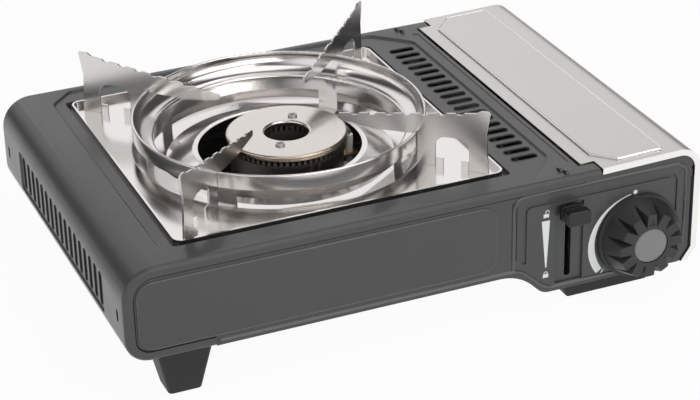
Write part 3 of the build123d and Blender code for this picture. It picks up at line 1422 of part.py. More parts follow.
with BuildPart() as regulator_body:
    extrude(
        rectangle(
            upright(REGULATOR_BACK),
            (REGULATOR_LEFT, REGULATOR_Z),
            (REGULATOR_RIGHT, REGULATOR_TOP),
            REGULATOR_R,
        ),
        amount=REGULATOR_DEPTH,
    )
    extrude(disc(upright(REGULATOR_FRONT), knob_place, SPINDLE_BOSS_R), amount=REGULATOR_STAND_OFF)
    extrude(disc(upright(socket_back), cartridge_place, SOCKET_BOSS_R), amount=SOCKET_BOSS)
    extrude(disc(upright(socket_back), cartridge_place, SOCKET_R), amount=SOCKET_DEPTH, mode=Mode.SUBTRACT)
    extrude(
        disc(upright(REGULATOR_FRONT + SPINDLE_DEPTH), knob_place, SPINDLE_R + RUNNING_FIT),
        amount=SPINDLE_DEPTH + REGULATOR_STAND_OFF,
        mode=Mode.SUBTRACT,
    )
    for place in cover_screws:
        extrude(
            disc(level(cover_top - COVER_SCREW_LENGTH), place, COVER_SCREW_R),
            amount=COVER_SCREW_LENGTH,
            mode=Mode.SUBTRACT,
        )
keep(regulator_body, "regulator_body")

with BuildPart() as regulator_cover:
    extrude(disc(level(REGULATOR_TOP), cover_centre, COVER_R), amount=COVER_THICKNESS)
    for place in cover_screws:
        extrude(
            disc(level(REGULATOR_TOP), place, COVER_SCREW_R),
            amount=COVER_THICKNESS,
            mode=Mode.SUBTRACT,
        )
keep(regulator_cover, "regulator_cover")

with BuildPart() as regulator_screws:
    for place in cover_screws:
        extrude(
            disc(level(cover_top - COVER_SCREW_LENGTH), place, COVER_SCREW_R),
            amount=COVER_SCREW_LENGTH,
        )
        extrude(disc(level(cover_top), place, COVER_SCREW_HEAD_R), amount=COVER_SCREW_HEAD)
keep(regulator_screws, "regulator_screws")

with BuildPart() as cartridge_seal:
    seal_back = socket_back - SOCKET_DEPTH + SEAL_THICKNESS
    extrude(disc(upright(seal_back), cartridge_place, SOCKET_R), amount=SEAL_THICKNESS)
    extrude(
        disc(upright(seal_back), cartridge_place, SEAL_BORE_R),
        amount=SEAL_THICKNESS,
        mode=Mode.SUBTRACT,
    )
keep(cartridge_seal, "cartridge_seal")

with BuildPart() as cartridge_guide:
    guide_foot = CARTRIDGE_Z + SOCKET_BOSS_R + SEAT_GAP
    extrude(
        rectangle(
            upright(REGULATOR_BACK + GUIDE_PLATE_THICKNESS),
            (CARTRIDGE_X - GUIDE_PLATE_WIDTH / 2, guide_foot),
            (CARTRIDGE_X + GUIDE_PLATE_WIDTH / 2, guide_foot + GUIDE_PLATE_HEIGHT),
        ),
        amount=GUIDE_PLATE_THICKNESS,
    )
keep(cartridge_guide, "cartridge_guide")

with BuildPart() as piezo_igniter:
    extrude(
        rectangle(
            level(REGULATOR_Z),
            (IGNITER_X - IGNITER_WIDTH / 2, IGNITER_Y - IGNITER_DEPTH / 2),
            (IGNITER_X + IGNITER_WIDTH / 2, IGNITER_Y + IGNITER_DEPTH / 2),
            IGNITER_R,
        ),
        amount=IGNITER_HEIGHT,
    )
keep(piezo_igniter, "piezo_igniter")

lead_x = PARTITION_X - LEAD_INSET
lead_low_z = BURNER_FOOT_Z
lead_corners = [
    (IGNITER_X, IGNITER_Y, IGNITER_TOP),
    (IGNITER_X, IGNITER_Y, lead_z),
    (lead_x, IGNITER_Y, lead_z),
    (lead_x, ELECTRODE_Y, lead_z),
    (lead_x, ELECTRODE_Y, lead_low_z),
    (ELECTRODE_X, ELECTRODE_Y, lead_low_z),
    (ELECTRODE_X, ELECTRODE_Y, CERAMIC_FOOT_Z),
]
igniter_lead = tube_along(lead_corners, LEAD_BEND_R, LEAD_R)
keep(igniter_lead, "igniter_lead")

# Knob with its cap, on the valve spindle
knob_back = PANEL_FRONT - KNOB_GAP
knob_front = FRONT_Y - KNOB_REACH
knob_length = knob_back - KNOB_SKIRT - knob_front
knob_taper = degrees(atan2(KNOB_R - KNOB_FRONT_R, knob_length))
bore_front = knob_back - KNOB_BORE_DEPTH

with BuildPart() as control_knob:
    extrude(disc(upright(knob_back), knob_place, KNOB_SKIRT_R), amount=KNOB_SKIRT)
    extrude(disc(upright(knob_back - KNOB_SKIRT), knob_place, KNOB_R), amount=knob_length, taper=knob_taper)
    fillet(control_knob.faces().sort_by(Axis.Y)[0].edges(), KNOB_EDGE_R)
    for index in range(KNOB_LOBES):
        turn = radians((2 * index + 1) * 180 / KNOB_LOBES)
        out = Vector(cos(turn), 0, sin(turn))
        valley = []
        for reach, share in ((KNOB_VALLEY_START_R, VALLEY_START_SHARE), (KNOB_SKIRT_R, 1)):
            across = Plane(
                origin=Vector(KNOB_X, knob_front, KNOB_Z) + out * reach,
                x_dir=(-sin(turn), 0, cos(turn)),
                z_dir=out,
            )
            half = 2 * share * KNOB_VALLEY_HALF
            depth = share * KNOB_VALLEY_DEPTH
            valley.append(outline(across, [(-half, depth), (half, depth), (0, -depth)], [0] * 3))
        loft(valley, mode=Mode.SUBTRACT)
    pointer_z = KNOB_Z + KNOB_POINTER_R
    pointer = [
        (KNOB_X - KNOB_POINTER_HALF, pointer_z),
        (KNOB_X + KNOB_POINTER_HALF, pointer_z),
        (KNOB_X, pointer_z + KNOB_POINTER_LENGTH),
    ]
    extrude(
        outline(upright(knob_front + KNOB_POINTER_DEPTH), pointer, [0] * len(pointer)),
        amount=KNOB_POINTER_DEPTH,
        mode=Mode.SUBTRACT,
    )
    extrude(
        disc(upright(knob_front + KNOB_CAP_INSET + KNOB_CAP_THICKNESS), knob_place, KNOB_CAP_R),
        amount=KNOB_CAP_INSET + KNOB_CAP_THICKNESS,
        mode=Mode.SUBTRACT,
    )
    extrude(disc(upright(knob_back), knob_place, SPINDLE_R), amount=KNOB_BORE_DEPTH, mode=Mode.SUBTRACT)
keep(control_knob, "control_knob")

with BuildPart() as knob_cap:
    extrude(
        disc(upright(knob_front + KNOB_CAP_INSET + KNOB_CAP_THICKNESS), knob_place, KNOB_CAP_R),
        amount=KNOB_CAP_THICKNESS,
    )
    fillet(knob_cap.faces().sort_by(Axis.Y)[0].edges(), KNOB_EDGE_R)
keep(knob_cap, "knob_cap")

with BuildPart() as valve_spindle:
    spindle_back = REGULATOR_FRONT + SPINDLE_DEPTH - SEAT_GAP
    extrude(disc(upright(spindle_back), knob_place, SPINDLE_R), amount=spindle_back - bore_front)
keep(valve_spindle, "valve_spindle")

# Cartridge lever, its carriage and guide
carriage_front = STRIP_BACK + SEAT_GAP
carriage_back = carriage_front + CARRIAGE_THICKNESS
cam_pin_end = BAR_X + BAR_THICKNESS + SEAT_GAP

with BuildPart() as lever_handle:
    handle_back = PANEL_FRONT - HANDLE_STAND_OFF
    extrude(
        rectangle(
            upright(handle_back),
            (LEVER_X - HANDLE_WIDTH / 2, LEVER_Z - HANDLE_HEIGHT / 2),
            (LEVER_X + HANDLE_WIDTH / 2, LEVER_Z + HANDLE_HEIGHT / 2),
            HANDLE_R,
        ),
        amount=HANDLE_DEPTH,
    )
    fillet(lever_handle.faces().sort_by(Axis.Y)[0].edges(), HANDLE_R / 2)
    waist_back = handle_back - HANDLE_BASE
    waist_half_width = HANDLE_WIDTH / 2 - HANDLE_WAIST_DEPTH
    waist_half_height = HANDLE_HEIGHT / 2 - HANDLE_WAIST_DEPTH
    extrude(
        rectangle(
            upright(waist_back),
            (LEVER_X - HANDLE_WIDTH, LEVER_Z - HANDLE_HEIGHT),
            (LEVER_X + HANDLE_WIDTH, LEVER_Z + HANDLE_HEIGHT),
        ),
        amount=HANDLE_WAIST_LENGTH,
        mode=Mode.SUBTRACT,
    )
    extrude(
        rectangle(
            upright(waist_back),
            (LEVER_X - waist_half_width, LEVER_Z - waist_half_height),
            (LEVER_X + waist_half_width, LEVER_Z + waist_half_height),
            HANDLE_R,
        ),
        amount=HANDLE_WAIST_LENGTH,
    )
    extrude(
        rectangle(
            upright(carriage_front),
            (LEVER_X - SHANK_WIDTH / 2, LEVER_Z - SHANK_HEIGHT / 2),
            (LEVER_X + SHANK_WIDTH / 2, LEVER_Z + SHANK_HEIGHT / 2),
        ),
        amount=carriage_front - handle_back,
    )
keep(lever_handle, "lever_handle")

with BuildPart() as lever_carriage:
    extrude(
        rectangle(
            upright(carriage_back),
            (LEVER_X - CARRIAGE_WIDTH / 2, LEVER_Z - CARRIAGE_HEIGHT / 2),
            (LEVER_X + CARRIAGE_WIDTH / 2, LEVER_Z + CARRIAGE_HEIGHT / 2),
        ),
        amount=CARRIAGE_THICKNESS,
    )
    extrude(
        rectangle(
            upright(CAM_PIN_Y + CARRIAGE_ARM_HEIGHT / 2),
            (LEVER_X - CARRIAGE_ARM_WIDTH / 2, CAM_PIN_Z - CARRIAGE_ARM_HEIGHT / 2),
            (LEVER_X + CARRIAGE_ARM_WIDTH / 2, CAM_PIN_Z + CARRIAGE_ARM_HEIGHT / 2),
        ),
        amount=CAM_PIN_Y + CARRIAGE_ARM_HEIGHT / 2 - carriage_front,
    )
    extrude(disc(endwise(LEVER_X), (CAM_PIN_Y, CAM_PIN_Z), PIN_R), amount=cam_pin_end - LEVER_X)
keep(lever_carriage, "lever_carriage")

with BuildPart() as lever_guide:
    guide_back = carriage_back + SEAT_GAP
    rail_inner = CARRIAGE_WIDTH / 2 + SEAT_GAP
    rail_outer = rail_inner + GUIDE_WALL
    for side in (1, -1):
        rail = [
            (LEVER_X + side * rail_outer, STRIP_BACK),
            (LEVER_X + side * rail_inner, STRIP_BACK),
            (LEVER_X + side * rail_inner, guide_back),
            (LEVER_X + side * (rail_inner - GUIDE_LIP), guide_back),
            (LEVER_X + side * (rail_inner - GUIDE_LIP), guide_back + GUIDE_WALL),
            (LEVER_X + side * rail_outer, guide_back + GUIDE_WALL),
        ]
        extrude(outline(level(GUIDE_BOTTOM_Z), rail, [0] * len(rail)), amount=GUIDE_TOP_Z - GUIDE_BOTTOM_Z)
    bridge = rectangle(
        level(GUIDE_TOP_Z),
        (LEVER_X - rail_outer, STRIP_BACK),
        (LEVER_X + rail_outer, guide_back + GUIDE_WALL),
    )
    extrude(bridge, amount=GUIDE_WALL)
keep(lever_guide, "lever_guide")

# Pull bar with its slanted slot, and the pusher at its rear end
slot_reach = PIN_R + SEAT_GAP
cam_low = (CAM_PIN_Y - slot_reach - CAM_MARGIN, CAM_PIN_Z - LEVER_TRAVEL - slot_reach - CAM_MARGIN)
cam_high = (CAM_PIN_Y + PUSHER_TRAVEL + slot_reach + CAM_MARGIN, CAM_PIN_Z + slot_reach + CAM_MARGIN)
bar_end = PUSHER_BACK - PUSHER_THICKNESS

with BuildPart() as pull_bar:
    extrude(rectangle(endwise(BAR_X), cam_low, cam_high, CAM_MARGIN), amount=BAR_THICKNESS)
    extrude(
        rectangle(endwise(BAR_X), (CAM_PIN_Y, BAR_Z), (bar_end, BAR_Z + BAR_HEIGHT)),
        amount=BAR_THICKNESS,
    )
    with BuildSketch(endwise(BAR_X)) as cam_slot:
        with Locations((CAM_PIN_Y + PUSHER_TRAVEL / 2, CAM_PIN_Z - LEVER_TRAVEL / 2)):
            SlotCenterToCenter(
                hypot(PUSHER_TRAVEL, LEVER_TRAVEL),
                2 * slot_reach,
                rotation=degrees(atan2(-LEVER_TRAVEL, PUSHER_TRAVEL)),
            )
    extrude(amount=BAR_THICKNESS, mode=Mode.SUBTRACT)
keep(pull_bar, "pull_bar")

with BuildPart() as cartridge_pusher:
    extrude(
        rectangle(
            endwise(BAR_X - PUSHER_THICKNESS),
            (bar_end - PUSHER_TAB, BAR_Z),
            (PUSHER_BACK, BAR_Z + BAR_HEIGHT),
        ),
        amount=PUSHER_THICKNESS,
    )
    pusher_right = BAR_X + PUSHER_WIDTH
    plate = [
        (BAR_X - PUSHER_THICKNESS, BAR_Z),
        (pusher_right, BAR_Z),
        (pusher_right, BAR_Z + PUSHER_HEIGHT),
        (BAR_X - PUSHER_THICKNESS, BAR_Z + PUSHER_HEIGHT),
    ]
    extrude(
        outline(upright(PUSHER_BACK), plate, [0, PUSHER_R, PUSHER_R, PUSHER_R]),
        amount=PUSHER_THICKNESS,
    )
keep(cartridge_pusher, "cartridge_pusher")

with BuildPart() as bar_guides:
    window_low = (BAR_X - SEAT_GAP, BAR_Z - SEAT_GAP)
    window_high = (BAR_X + BAR_THICKNESS + SEAT_GAP, BAR_Z + BAR_HEIGHT + SEAT_GAP)
    loop_low = (window_low[0] - BAR_GUIDE_WALL, BAY_TOP_Z)
    loop_high = (window_high[0] + BAR_GUIDE_WALL, window_high[1] + BAR_GUIDE_WALL)
    for back in (PANEL_BACK + BAR_GUIDE_FRONT, REAR_INNER - BAR_GUIDE_REAR):
        extrude(rectangle(upright(back), loop_low, loop_high), amount=BAR_GUIDE_DEPTH)
        extrude(
            rectangle(upright(back), window_low, window_high),
            amount=BAR_GUIDE_DEPTH,
            mode=Mode.SUBTRACT,
        )
keep(bar_guides, "bar_guides")
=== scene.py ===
# %% [markdown]
# # A camping gas stove
# The solids of the stove are already made and packed: panels, tray, burner, lid, knob and
# the works inside. This lesson dresses them: finishes for paint, polished and brushed steel,
# plastic and cast metal, rounded sheet edges that catch the light, and the small pressed and
# printed details that make a stove look like one. Everything is in metres.

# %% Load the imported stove
import json
from math import cos, pi, radians, sin

import bmesh
import bpy
from mathutils import Matrix, Vector

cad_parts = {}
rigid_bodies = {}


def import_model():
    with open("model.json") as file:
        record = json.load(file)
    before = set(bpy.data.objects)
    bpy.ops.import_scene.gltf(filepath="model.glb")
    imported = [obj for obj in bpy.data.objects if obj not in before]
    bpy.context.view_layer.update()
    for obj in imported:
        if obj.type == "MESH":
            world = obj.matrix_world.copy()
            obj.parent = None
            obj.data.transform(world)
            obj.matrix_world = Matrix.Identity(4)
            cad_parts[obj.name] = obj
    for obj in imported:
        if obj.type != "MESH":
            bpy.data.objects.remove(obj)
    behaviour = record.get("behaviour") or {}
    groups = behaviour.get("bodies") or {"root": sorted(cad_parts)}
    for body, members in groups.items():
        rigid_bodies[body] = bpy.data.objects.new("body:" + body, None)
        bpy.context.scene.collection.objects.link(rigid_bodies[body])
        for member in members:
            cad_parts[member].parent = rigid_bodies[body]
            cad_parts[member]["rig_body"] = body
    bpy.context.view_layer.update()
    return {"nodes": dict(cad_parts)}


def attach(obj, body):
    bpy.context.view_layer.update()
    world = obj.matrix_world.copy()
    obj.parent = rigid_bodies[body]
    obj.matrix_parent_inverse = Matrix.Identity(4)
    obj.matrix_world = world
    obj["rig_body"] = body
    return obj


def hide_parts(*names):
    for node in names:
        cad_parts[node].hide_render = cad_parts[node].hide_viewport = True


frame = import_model()
NODES = frame["nodes"]
MM = 0.001

# %% [markdown]
# The camera stands where the photographer's lens was: front left, a little over the deck, with
# a long lens. Its place and turn were worked out from the straight edges of the body, so every
# piece lands where it should without any fitting.

# %% Camera
PHOTO_WIDTH = 700
FOCAL_PIXELS = 2177
SENSOR_WIDTH = 36
CAMERA_PLACE = (-0.4340, -1.0554, 0.6278)
TURN, TILT, ROLL = radians(-22.45), radians(27.40), radians(1.33)
forward = Vector((-sin(TURN) * cos(TILT), cos(TURN) * cos(TILT), -sin(TILT)))
right = Vector((cos(TURN), sin(TURN), 0))
down = forward.cross(right)
camera_x = right * cos(ROLL) + down * sin(ROLL)
camera_down = down * cos(ROLL) - right * sin(ROLL)
lens = bpy.data.cameras.new("camera")
lens.sensor_width = SENSOR_WIDTH
lens.lens = FOCAL_PIXELS / PHOTO_WIDTH * SENSOR_WIDTH
lens.clip_start, lens.clip_end = 0.01, 50
camera = bpy.data.objects.new("camera", lens)
axes = Matrix((camera_x, -camera_down, -forward)).transposed().to_4x4()
camera.matrix_world = Matrix.Translation(CAMERA_PLACE) @ axes
bpy.context.scene.collection.objects.link(camera)
bpy.context.scene.camera = camera
print("lens:", round(lens.lens, 1), "mm")

# %% [markdown]
# Node maths reads best as plain expressions. `Wire` wraps a node's socket, so that
# `0.3 + 0.1 * grain` adds the Math nodes by itself. `Nodes` is any node tree, with one method
# that adds a node: its settings first, then the values or links of its sockets.


# %% Node helpers
class Wire:
    """A socket that does arithmetic by adding Math nodes to its tree."""

    def __init__(self, tree, socket):
        self.tree, self.socket = tree, socket

    def math(self, operation, first, second=None):
        made = self.tree.nodes.new("ShaderNodeMath")
        made.operation = operation
        for entry, value in zip(made.inputs, (first, second)):
            plug(self.tree, entry, value)
        return Wire(self.tree, made.outputs[0])

    def __add__(self, other):
        return self.math("ADD", self, other)

    def __radd__(self, other):
        return self.math("ADD", other, self)

    def __sub__(self, other):
        return self.math("SUBTRACT", self, other)

    def __rsub__(self, other):
        return self.math("SUBTRACT", other, self)

    def __mul__(self, other):
        return self.math("MULTIPLY", self, other)

    def __rmul__(self, other):
        return self.math("MULTIPLY", other, self)

    def __truediv__(self, other):
        return self.math("DIVIDE", self, other)

    def __pow__(self, other):
        return self.math("POWER", self, other)

    def clipped(self):
        """Held between 0 and 1."""
        return self.math("MINIMUM", self.math("MAXIMUM", self, 0.0), 1.0)

    def larger(self, other):
        """The larger of two."""
        return self.math("MAXIMUM", self, other)


def plug(tree, entry, value):
    """Link a wire to an input, or set the input's own value."""
    if isinstance(value, Wire):
        tree.links.new(value.socket, entry)
    elif value is not None:
        entry.default_value = value


def grey(level, blue=None):
    """Grey that may lean a little to blue."""
    return (level, level, blue or level)


class Nodes:
    """A node tree that is filled node by node."""

    def __init__(self, tree):
        self.tree = tree

    def node(self, kind, settings=None, out=None, **sockets):
        """Add a node: its settings first, then the values or links of its sockets.

        The wire that comes back starts at the output named by out, or else at the first one.
        A 2 at the end of a socket's name stands for the second socket of that name.
        """
        made = self.tree.nodes.new(kind)
        for key, value in (settings or {}).items():
            if key == "stops":
                ramp = made.color_ramp
                while len(ramp.elements) < len(value):
                    ramp.elements.new(0.5)
                for element, (place, colour) in zip(ramp.elements, value):
                    element.position, element.color = place, (*colour, 1)
            else:
                setattr(made, key, value)
        for key, value in sockets.items():
            name = key.rstrip("2").replace("_", " ")
            matches = [entry for entry in made.inputs if entry.name == name and entry.enabled]
            plug(self.tree, matches[1 if key.endswith("2") else 0], value)
        first_way = next(way for way in made.outputs if way.enabled)
        return Wire(self.tree, made.outputs[out] if out else first_way)

    def exits(self, wire):
        """All outputs of the node that a wire starts from."""
        return [Wire(self.tree, way) for way in wire.socket.node.outputs]

    def mixed(self, factor, first, second):
        """Colour between two colours."""
        ends = [end if isinstance(end, Wire) else (*end, 1) for end in (first, second)]
        return self.node("ShaderNodeMix", {"data_type": "RGBA"}, Factor=factor, A=ends[0], B=ends[1])

    def shaded(self, factor, first, second):
        """Mix of two shaders."""
        made = self.tree.nodes.new("ShaderNodeMixShader")
        for entry, wire in zip(made.inputs, (factor, first, second)):
            plug(self.tree, entry, wire)
        return Wire(self.tree, made.outputs[0])


class Finish(Nodes):
    """One material with a Principled shader."""

    def __init__(self, name, constants=None):
        self.material = bpy.data.materials.new(name)
        self.material.use_nodes = True
        super().__init__(self.material.node_tree)
        self.tree.nodes.clear()
        self.shader = self.tree.nodes.new("ShaderNodeBsdfPrincipled")
        self.output = self.tree.nodes.new("ShaderNodeOutputMaterial")
        self.tree.links.new(self.shader.outputs[0], self.output.inputs[0])
        for key, value in (constants or {}).items():
            self.shader.inputs[key].default_value = value

    def feed(self, name, wire):
        """Lead a wire into the shader."""
        plug(self.tree, self.shader.inputs[name], wire)

    def place(self):
        """Object coordinates, in metres."""
        return self.node("ShaderNodeTexCoord", out="Object")

    def stretched(self, x, y, z):
        """Object coordinates with a number of cells per metre along each axis."""
        kind = {"vector_type": "POINT"}
        return self.node("ShaderNodeMapping", kind, Vector=self.place(), Scale=(x, y, z))

    def noise(self, per_metre, detail, vector=None):
        """Noise with a number of cells per metre."""
        vector = vector or self.place()
        return self.node("ShaderNodeTexNoise", Vector=vector, Scale=per_metre, Detail=detail)

    def bump(self, height, distance, strength):
        """Lead a height, in parts of a distance in metres, into the shader's normal."""
        bent = self.node("ShaderNodeBump", Height=height, Distance=distance, Strength=strength)
        self.feed("Normal", bent)


print("node helpers ready")

# %% [markdown]
# The paint is a dark grey gloss, baked on. It mirrors the tray and the pan supports softly, and
# close up it has the faint orange peel of sprayed paint, so the bump is very low and its cells
# are about a millimetre wide. On the pressed ridges it is rubbed to a higher gloss.


# %% Paint
def gloss_paint(name, gloss):
    """Dark grey paint: slow clouds of tone, and orange peel in its surface."""
    lacquer = {"Coat Weight": gloss, "Coat Roughness": 0.07, "Specular IOR Level": 0.3}
    coating = Finish(name, lacquer)
    cloud = coating.noise(18, 3)
    peel = coating.noise(700, 1)
    tone = coating.mixed(cloud, grey(0.059, 0.062), grey(0.069, 0.071))
    coating.feed("Base Color", tone)
    coating.feed("Roughness", 0.30 + 0.10 * coating.noise(60, 2))
    coating.bump(peel, 0.00002, 0.5)
    return coating


paint = gloss_paint("grey_gloss_paint", 0.25)
ridge_paint = gloss_paint("grey_ridge_paint", 0.9)
print("paint:", len(paint.tree.nodes), "nodes")

# %% [markdown]
# Tray, ring and pan supports are stainless steel polished to a satin mirror. A stamped sheet is
# never quite flat, so a slow wave bends the reflections, and fine polishing lines run round the
# pressed ring of the tray. The lines follow the distance from the tray's middle.

# %% Polished steel
TRAY_CENTRE = (-0.0377, 0.008)


def round_lines(finish, centre, per_metre):
    """Noise that only changes with the distance from an upright axis and with the height."""
    x, y, z = finish.exits(finish.node("ShaderNodeSeparateXYZ", Vector=finish.place()))
    reach = ((x - centre[0]) ** 2.0 + (y - centre[1]) ** 2.0) ** 0.5
    line = finish.node("ShaderNodeCombineXYZ", X=reach, Y=z, Z=0.0)
    return finish.noise(per_metre, 3, line), reach


def polished_steel(name, colour, base_roughness, turned, line_depth):
    """Polished sheet: a slow wave, smudges, and fine lines that run round or along."""
    steel = Finish(name, {"Metallic": 1.0})
    smudge = steel.noise(35, 3)
    wave = steel.noise(22, 1)
    if turned:
        lines = round_lines(steel, TRAY_CENTRE, 2600)[0]
    else:
        lines = steel.noise(1, 2, steel.stretched(900, 900, 2600))
    dull = tuple(0.94 * part for part in colour)
    steel.feed("Base Color", steel.mixed(smudge, dull, colour))
    steel.feed("Roughness", base_roughness + 0.05 * smudge + 0.06 * lines)
    steel.bump(wave + line_depth * lines, 0.0006, 0.3)
    return steel


tray_steel = polished_steel("polished_tray_steel", (0.83, 0.805, 0.79), 0.10, True, 0.02)
ring_steel = polished_steel("polished_ring_steel", (0.78, 0.76, 0.745), 0.12, True, 0.02)
support_steel = polished_steel("polished_support_steel", (0.72, 0.705, 0.69), 0.17, False, 0.004)
print("polished steel:", len(tray_steel.tree.nodes), "nodes each")

# %% [markdown]
# The lid is brushed along its length: long fine scratches that spread a reflection into a soft
# satin. Noise squeezed to many cells across and few along gives the grain. The turned-down front
# edge is smoother, and its colour there is painted much paler: a painted highlight on the face
# that looks to the front.

# %% Brushed lid steel
HEM_START, HEM_BLEND = -0.1104, 0.0003
lid_steel = Finish("brushed_lid_steel", {"Metallic": 1.0})
grain = lid_steel.noise(1, 2, lid_steel.stretched(3200, 45, 3200))
broad = lid_steel.noise(14, 2)
brushed = lid_steel.mixed(grain, (0.64, 0.622, 0.60), (0.70, 0.682, 0.66))
depth = lid_steel.node("ShaderNodeSeparateXYZ", out="Y", Vector=lid_steel.place())
# Painted highlight: the front face of the turned-down edge gets a much paler colour.
hem = ((HEM_START - depth) / HEM_BLEND).clipped()
lid_steel.feed("Base Color", lid_steel.mixed(hem, brushed, (0.90, 0.885, 0.865)))
lid_steel.feed("Roughness", 0.30 + 0.08 * grain + 0.05 * broad - 0.18 * hem)
lid_steel.bump(grain, 0.00002, 0.5)

# Pale smooth steel for the tube along the lid's field edge: its pale colour is a painted highlight.
highlight_bead_steel = Finish("smooth_hem_steel", {"Metallic": 1.0})
highlight_bead_tone = highlight_bead_steel.noise(240, 3)
highlight_bead_colour = highlight_bead_steel.mixed(highlight_bead_tone, (0.86, 0.845, 0.825), (0.92, 0.905, 0.885))
highlight_bead_steel.feed("Base Color", highlight_bead_colour)
highlight_bead_steel.feed("Roughness", 0.12 + 0.08 * highlight_bead_tone)
print("lid steel ready")

# %% [markdown]
# The burner's cap is pale satin metal that has been through a test flame: its rim is a little
# warmer. Its body is cast, grey and slightly sooty, and the black of the opening is mostly shade.

# %% Burner metals
BURNER_X, BURNER_Y = -33.9, 6.6
BURNER_CENTRE = (BURNER_X * MM, BURNER_Y * MM)
CAP_RIM, RIM_BLEND = 0.0335, 0.0015
cap_metal = Finish("burner_cap_metal", {"Metallic": 1.0})
rings, reach = round_lines(cap_metal, BURNER_CENTRE, 2200)
rim = ((reach - CAP_RIM) / RIM_BLEND).clipped()
cap_metal.feed("Base Color", cap_metal.mixed(rim, (0.70, 0.66, 0.63), (0.55, 0.46, 0.36)))
cap_metal.feed("Roughness", 0.15 + 0.10 * rings)
cap_metal.bump(rings, 0.00002, 0.5)

cast_metal = Finish("cast_burner_metal", {"Metallic": 1.0})
grit = cast_metal.noise(900, 3)
soot = cast_metal.noise(60, 3)
cast_metal.feed("Base Color", cast_metal.mixed(soot, (0.20, 0.185, 0.17), (0.36, 0.34, 0.32)))
cast_metal.feed("Roughness", 0.34 + 0.2 * grit)
cast_metal.bump(grit, 0.00008, 0.6)
print("burner metals ready")

# %% [markdown]
# Inside are zinc-plated pressings, brass fittings and a few plain parts. They show through the
# openings and when the lid is up, so they get simple honest finishes: plating has a faint spangle.

# %% Inner finishes
plated = Finish("plated_steel", {"Metallic": 1.0})
spangle = plated.noise(260, 2)
plated.feed("Base Color", plated.mixed(spangle, (0.40, 0.40, 0.395), (0.52, 0.52, 0.51)))
plated.feed("Roughness", 0.32 + 0.16 * spangle)
plated.bump(spangle, 0.00002, 0.4)

brass = Finish("brass_fitting", {"Metallic": 1.0})
tone = brass.noise(120, 3)
brass.feed("Base Color", brass.mixed(tone, (0.58, 0.42, 0.18), (0.72, 0.55, 0.27)))
brass.feed("Roughness", 0.25 + 0.15 * tone)

heat_metal = Finish("bright_heat_plate", {"Metallic": 1.0})
roll_lines = heat_metal.noise(1, 2, heat_metal.stretched(40, 2400, 2400))
heat_metal.feed("Base Color", heat_metal.mixed(roll_lines, (0.62, 0.62, 0.61), (0.74, 0.74, 0.73)))
heat_metal.feed("Roughness", 0.25 + 0.15 * roll_lines)

ceramic = Finish("glazed_ceramic", {"Roughness": 0.15})
speck = ceramic.noise(800, 2)
ceramic.feed("Base Color", ceramic.mixed(speck, (0.76, 0.74, 0.69), (0.84, 0.82, 0.78)))

# Real rubber for the cartridge seal; the same near-black is also laid in the deck's lanced cuts as painted
# shade.
rubber_and_slit_shade = Finish("seal_rubber")
rubber_grain = rubber_and_slit_shade.noise(2500, 2)
rubber_and_slit_shade.feed("Base Color", rubber_and_slit_shade.mixed(rubber_grain, grey(0.016), grey(0.03)))
rubber_and_slit_shade.feed("Roughness", 0.65 + 0.2 * rubber_grain)

sheath = Finish("lead_sheath")
sheath_tone = sheath.noise(90, 2)
sheath.feed("Base Color", sheath.mixed(sheath_tone, (0.020, 0.019, 0.019), (0.034, 0.032, 0.032)))
sheath.feed("Roughness", 0.45 + 0.15 * sheath_tone)
print("inner finishes ready")

# %% [markdown]
# Knob, lever and feet are moulded in black plastic with a fine spark texture, a little glossier
# where fingers rub it. The disc in the knob is the same plastic in mid grey.


# %% Plastics
def moulded_plastic(name, dark, light, roughness):
    """Plastic with a fine spark texture, rubbed here and there."""
    plastic = Finish(name, {"IOR": 1.48})
    spark = plastic.noise(2600, 2)
    rubbed = plastic.noise(70, 3)
    plastic.feed("Base Color", plastic.mixed(rubbed, dark, light))
    plastic.feed("Roughness", roughness + 0.12 * rubbed)
    plastic.bump(spark, 0.00004, 0.5)
    return plastic


black_plastic = moulded_plastic("black_knob_plastic", grey(0.021, 0.022), grey(0.029, 0.030), 0.36)
lever_plastic = moulded_plastic("black_lever_plastic", grey(0.008), grey(0.013), 0.30)
foot_plastic = moulded_plastic("black_foot_plastic", grey(0.007), grey(0.011), 0.5)
grey_plastic = moulded_plastic("grey_cap_plastic", grey(0.19, 0.193), grey(0.225, 0.228), 0.42)
print("plastics ready")

# %% [markdown]
# The solids come as loose triangles. A merged copy of a solid can be shaded smooth, and a tiny
# bevel along its sharp edges makes the thin bright lines that real sheet metal shows there. Each
# copy stands for its solid, so nothing changes size.


# %% Dress the solids
MERGE_DISTANCE = 2e-6
FLAT_ANGLE, SMOOTH_ANGLE, BEVEL_ANGLE = radians(0.4), radians(28), radians(40)


def link(piece):
    """Put a piece in the scene."""
    bpy.context.scene.collection.objects.link(piece)
    return piece


def round_edges(piece, width, segments):
    """Small bevel (mm) along the sharp edges."""
    rounding = piece.modifiers.new("rounded_edges", "BEVEL")
    rounding.width, rounding.segments = width * MM, segments
    rounding.limit_method = "ANGLE"
    rounding.angle_limit = BEVEL_ANGLE
    rounding.use_clamp_overlap = True


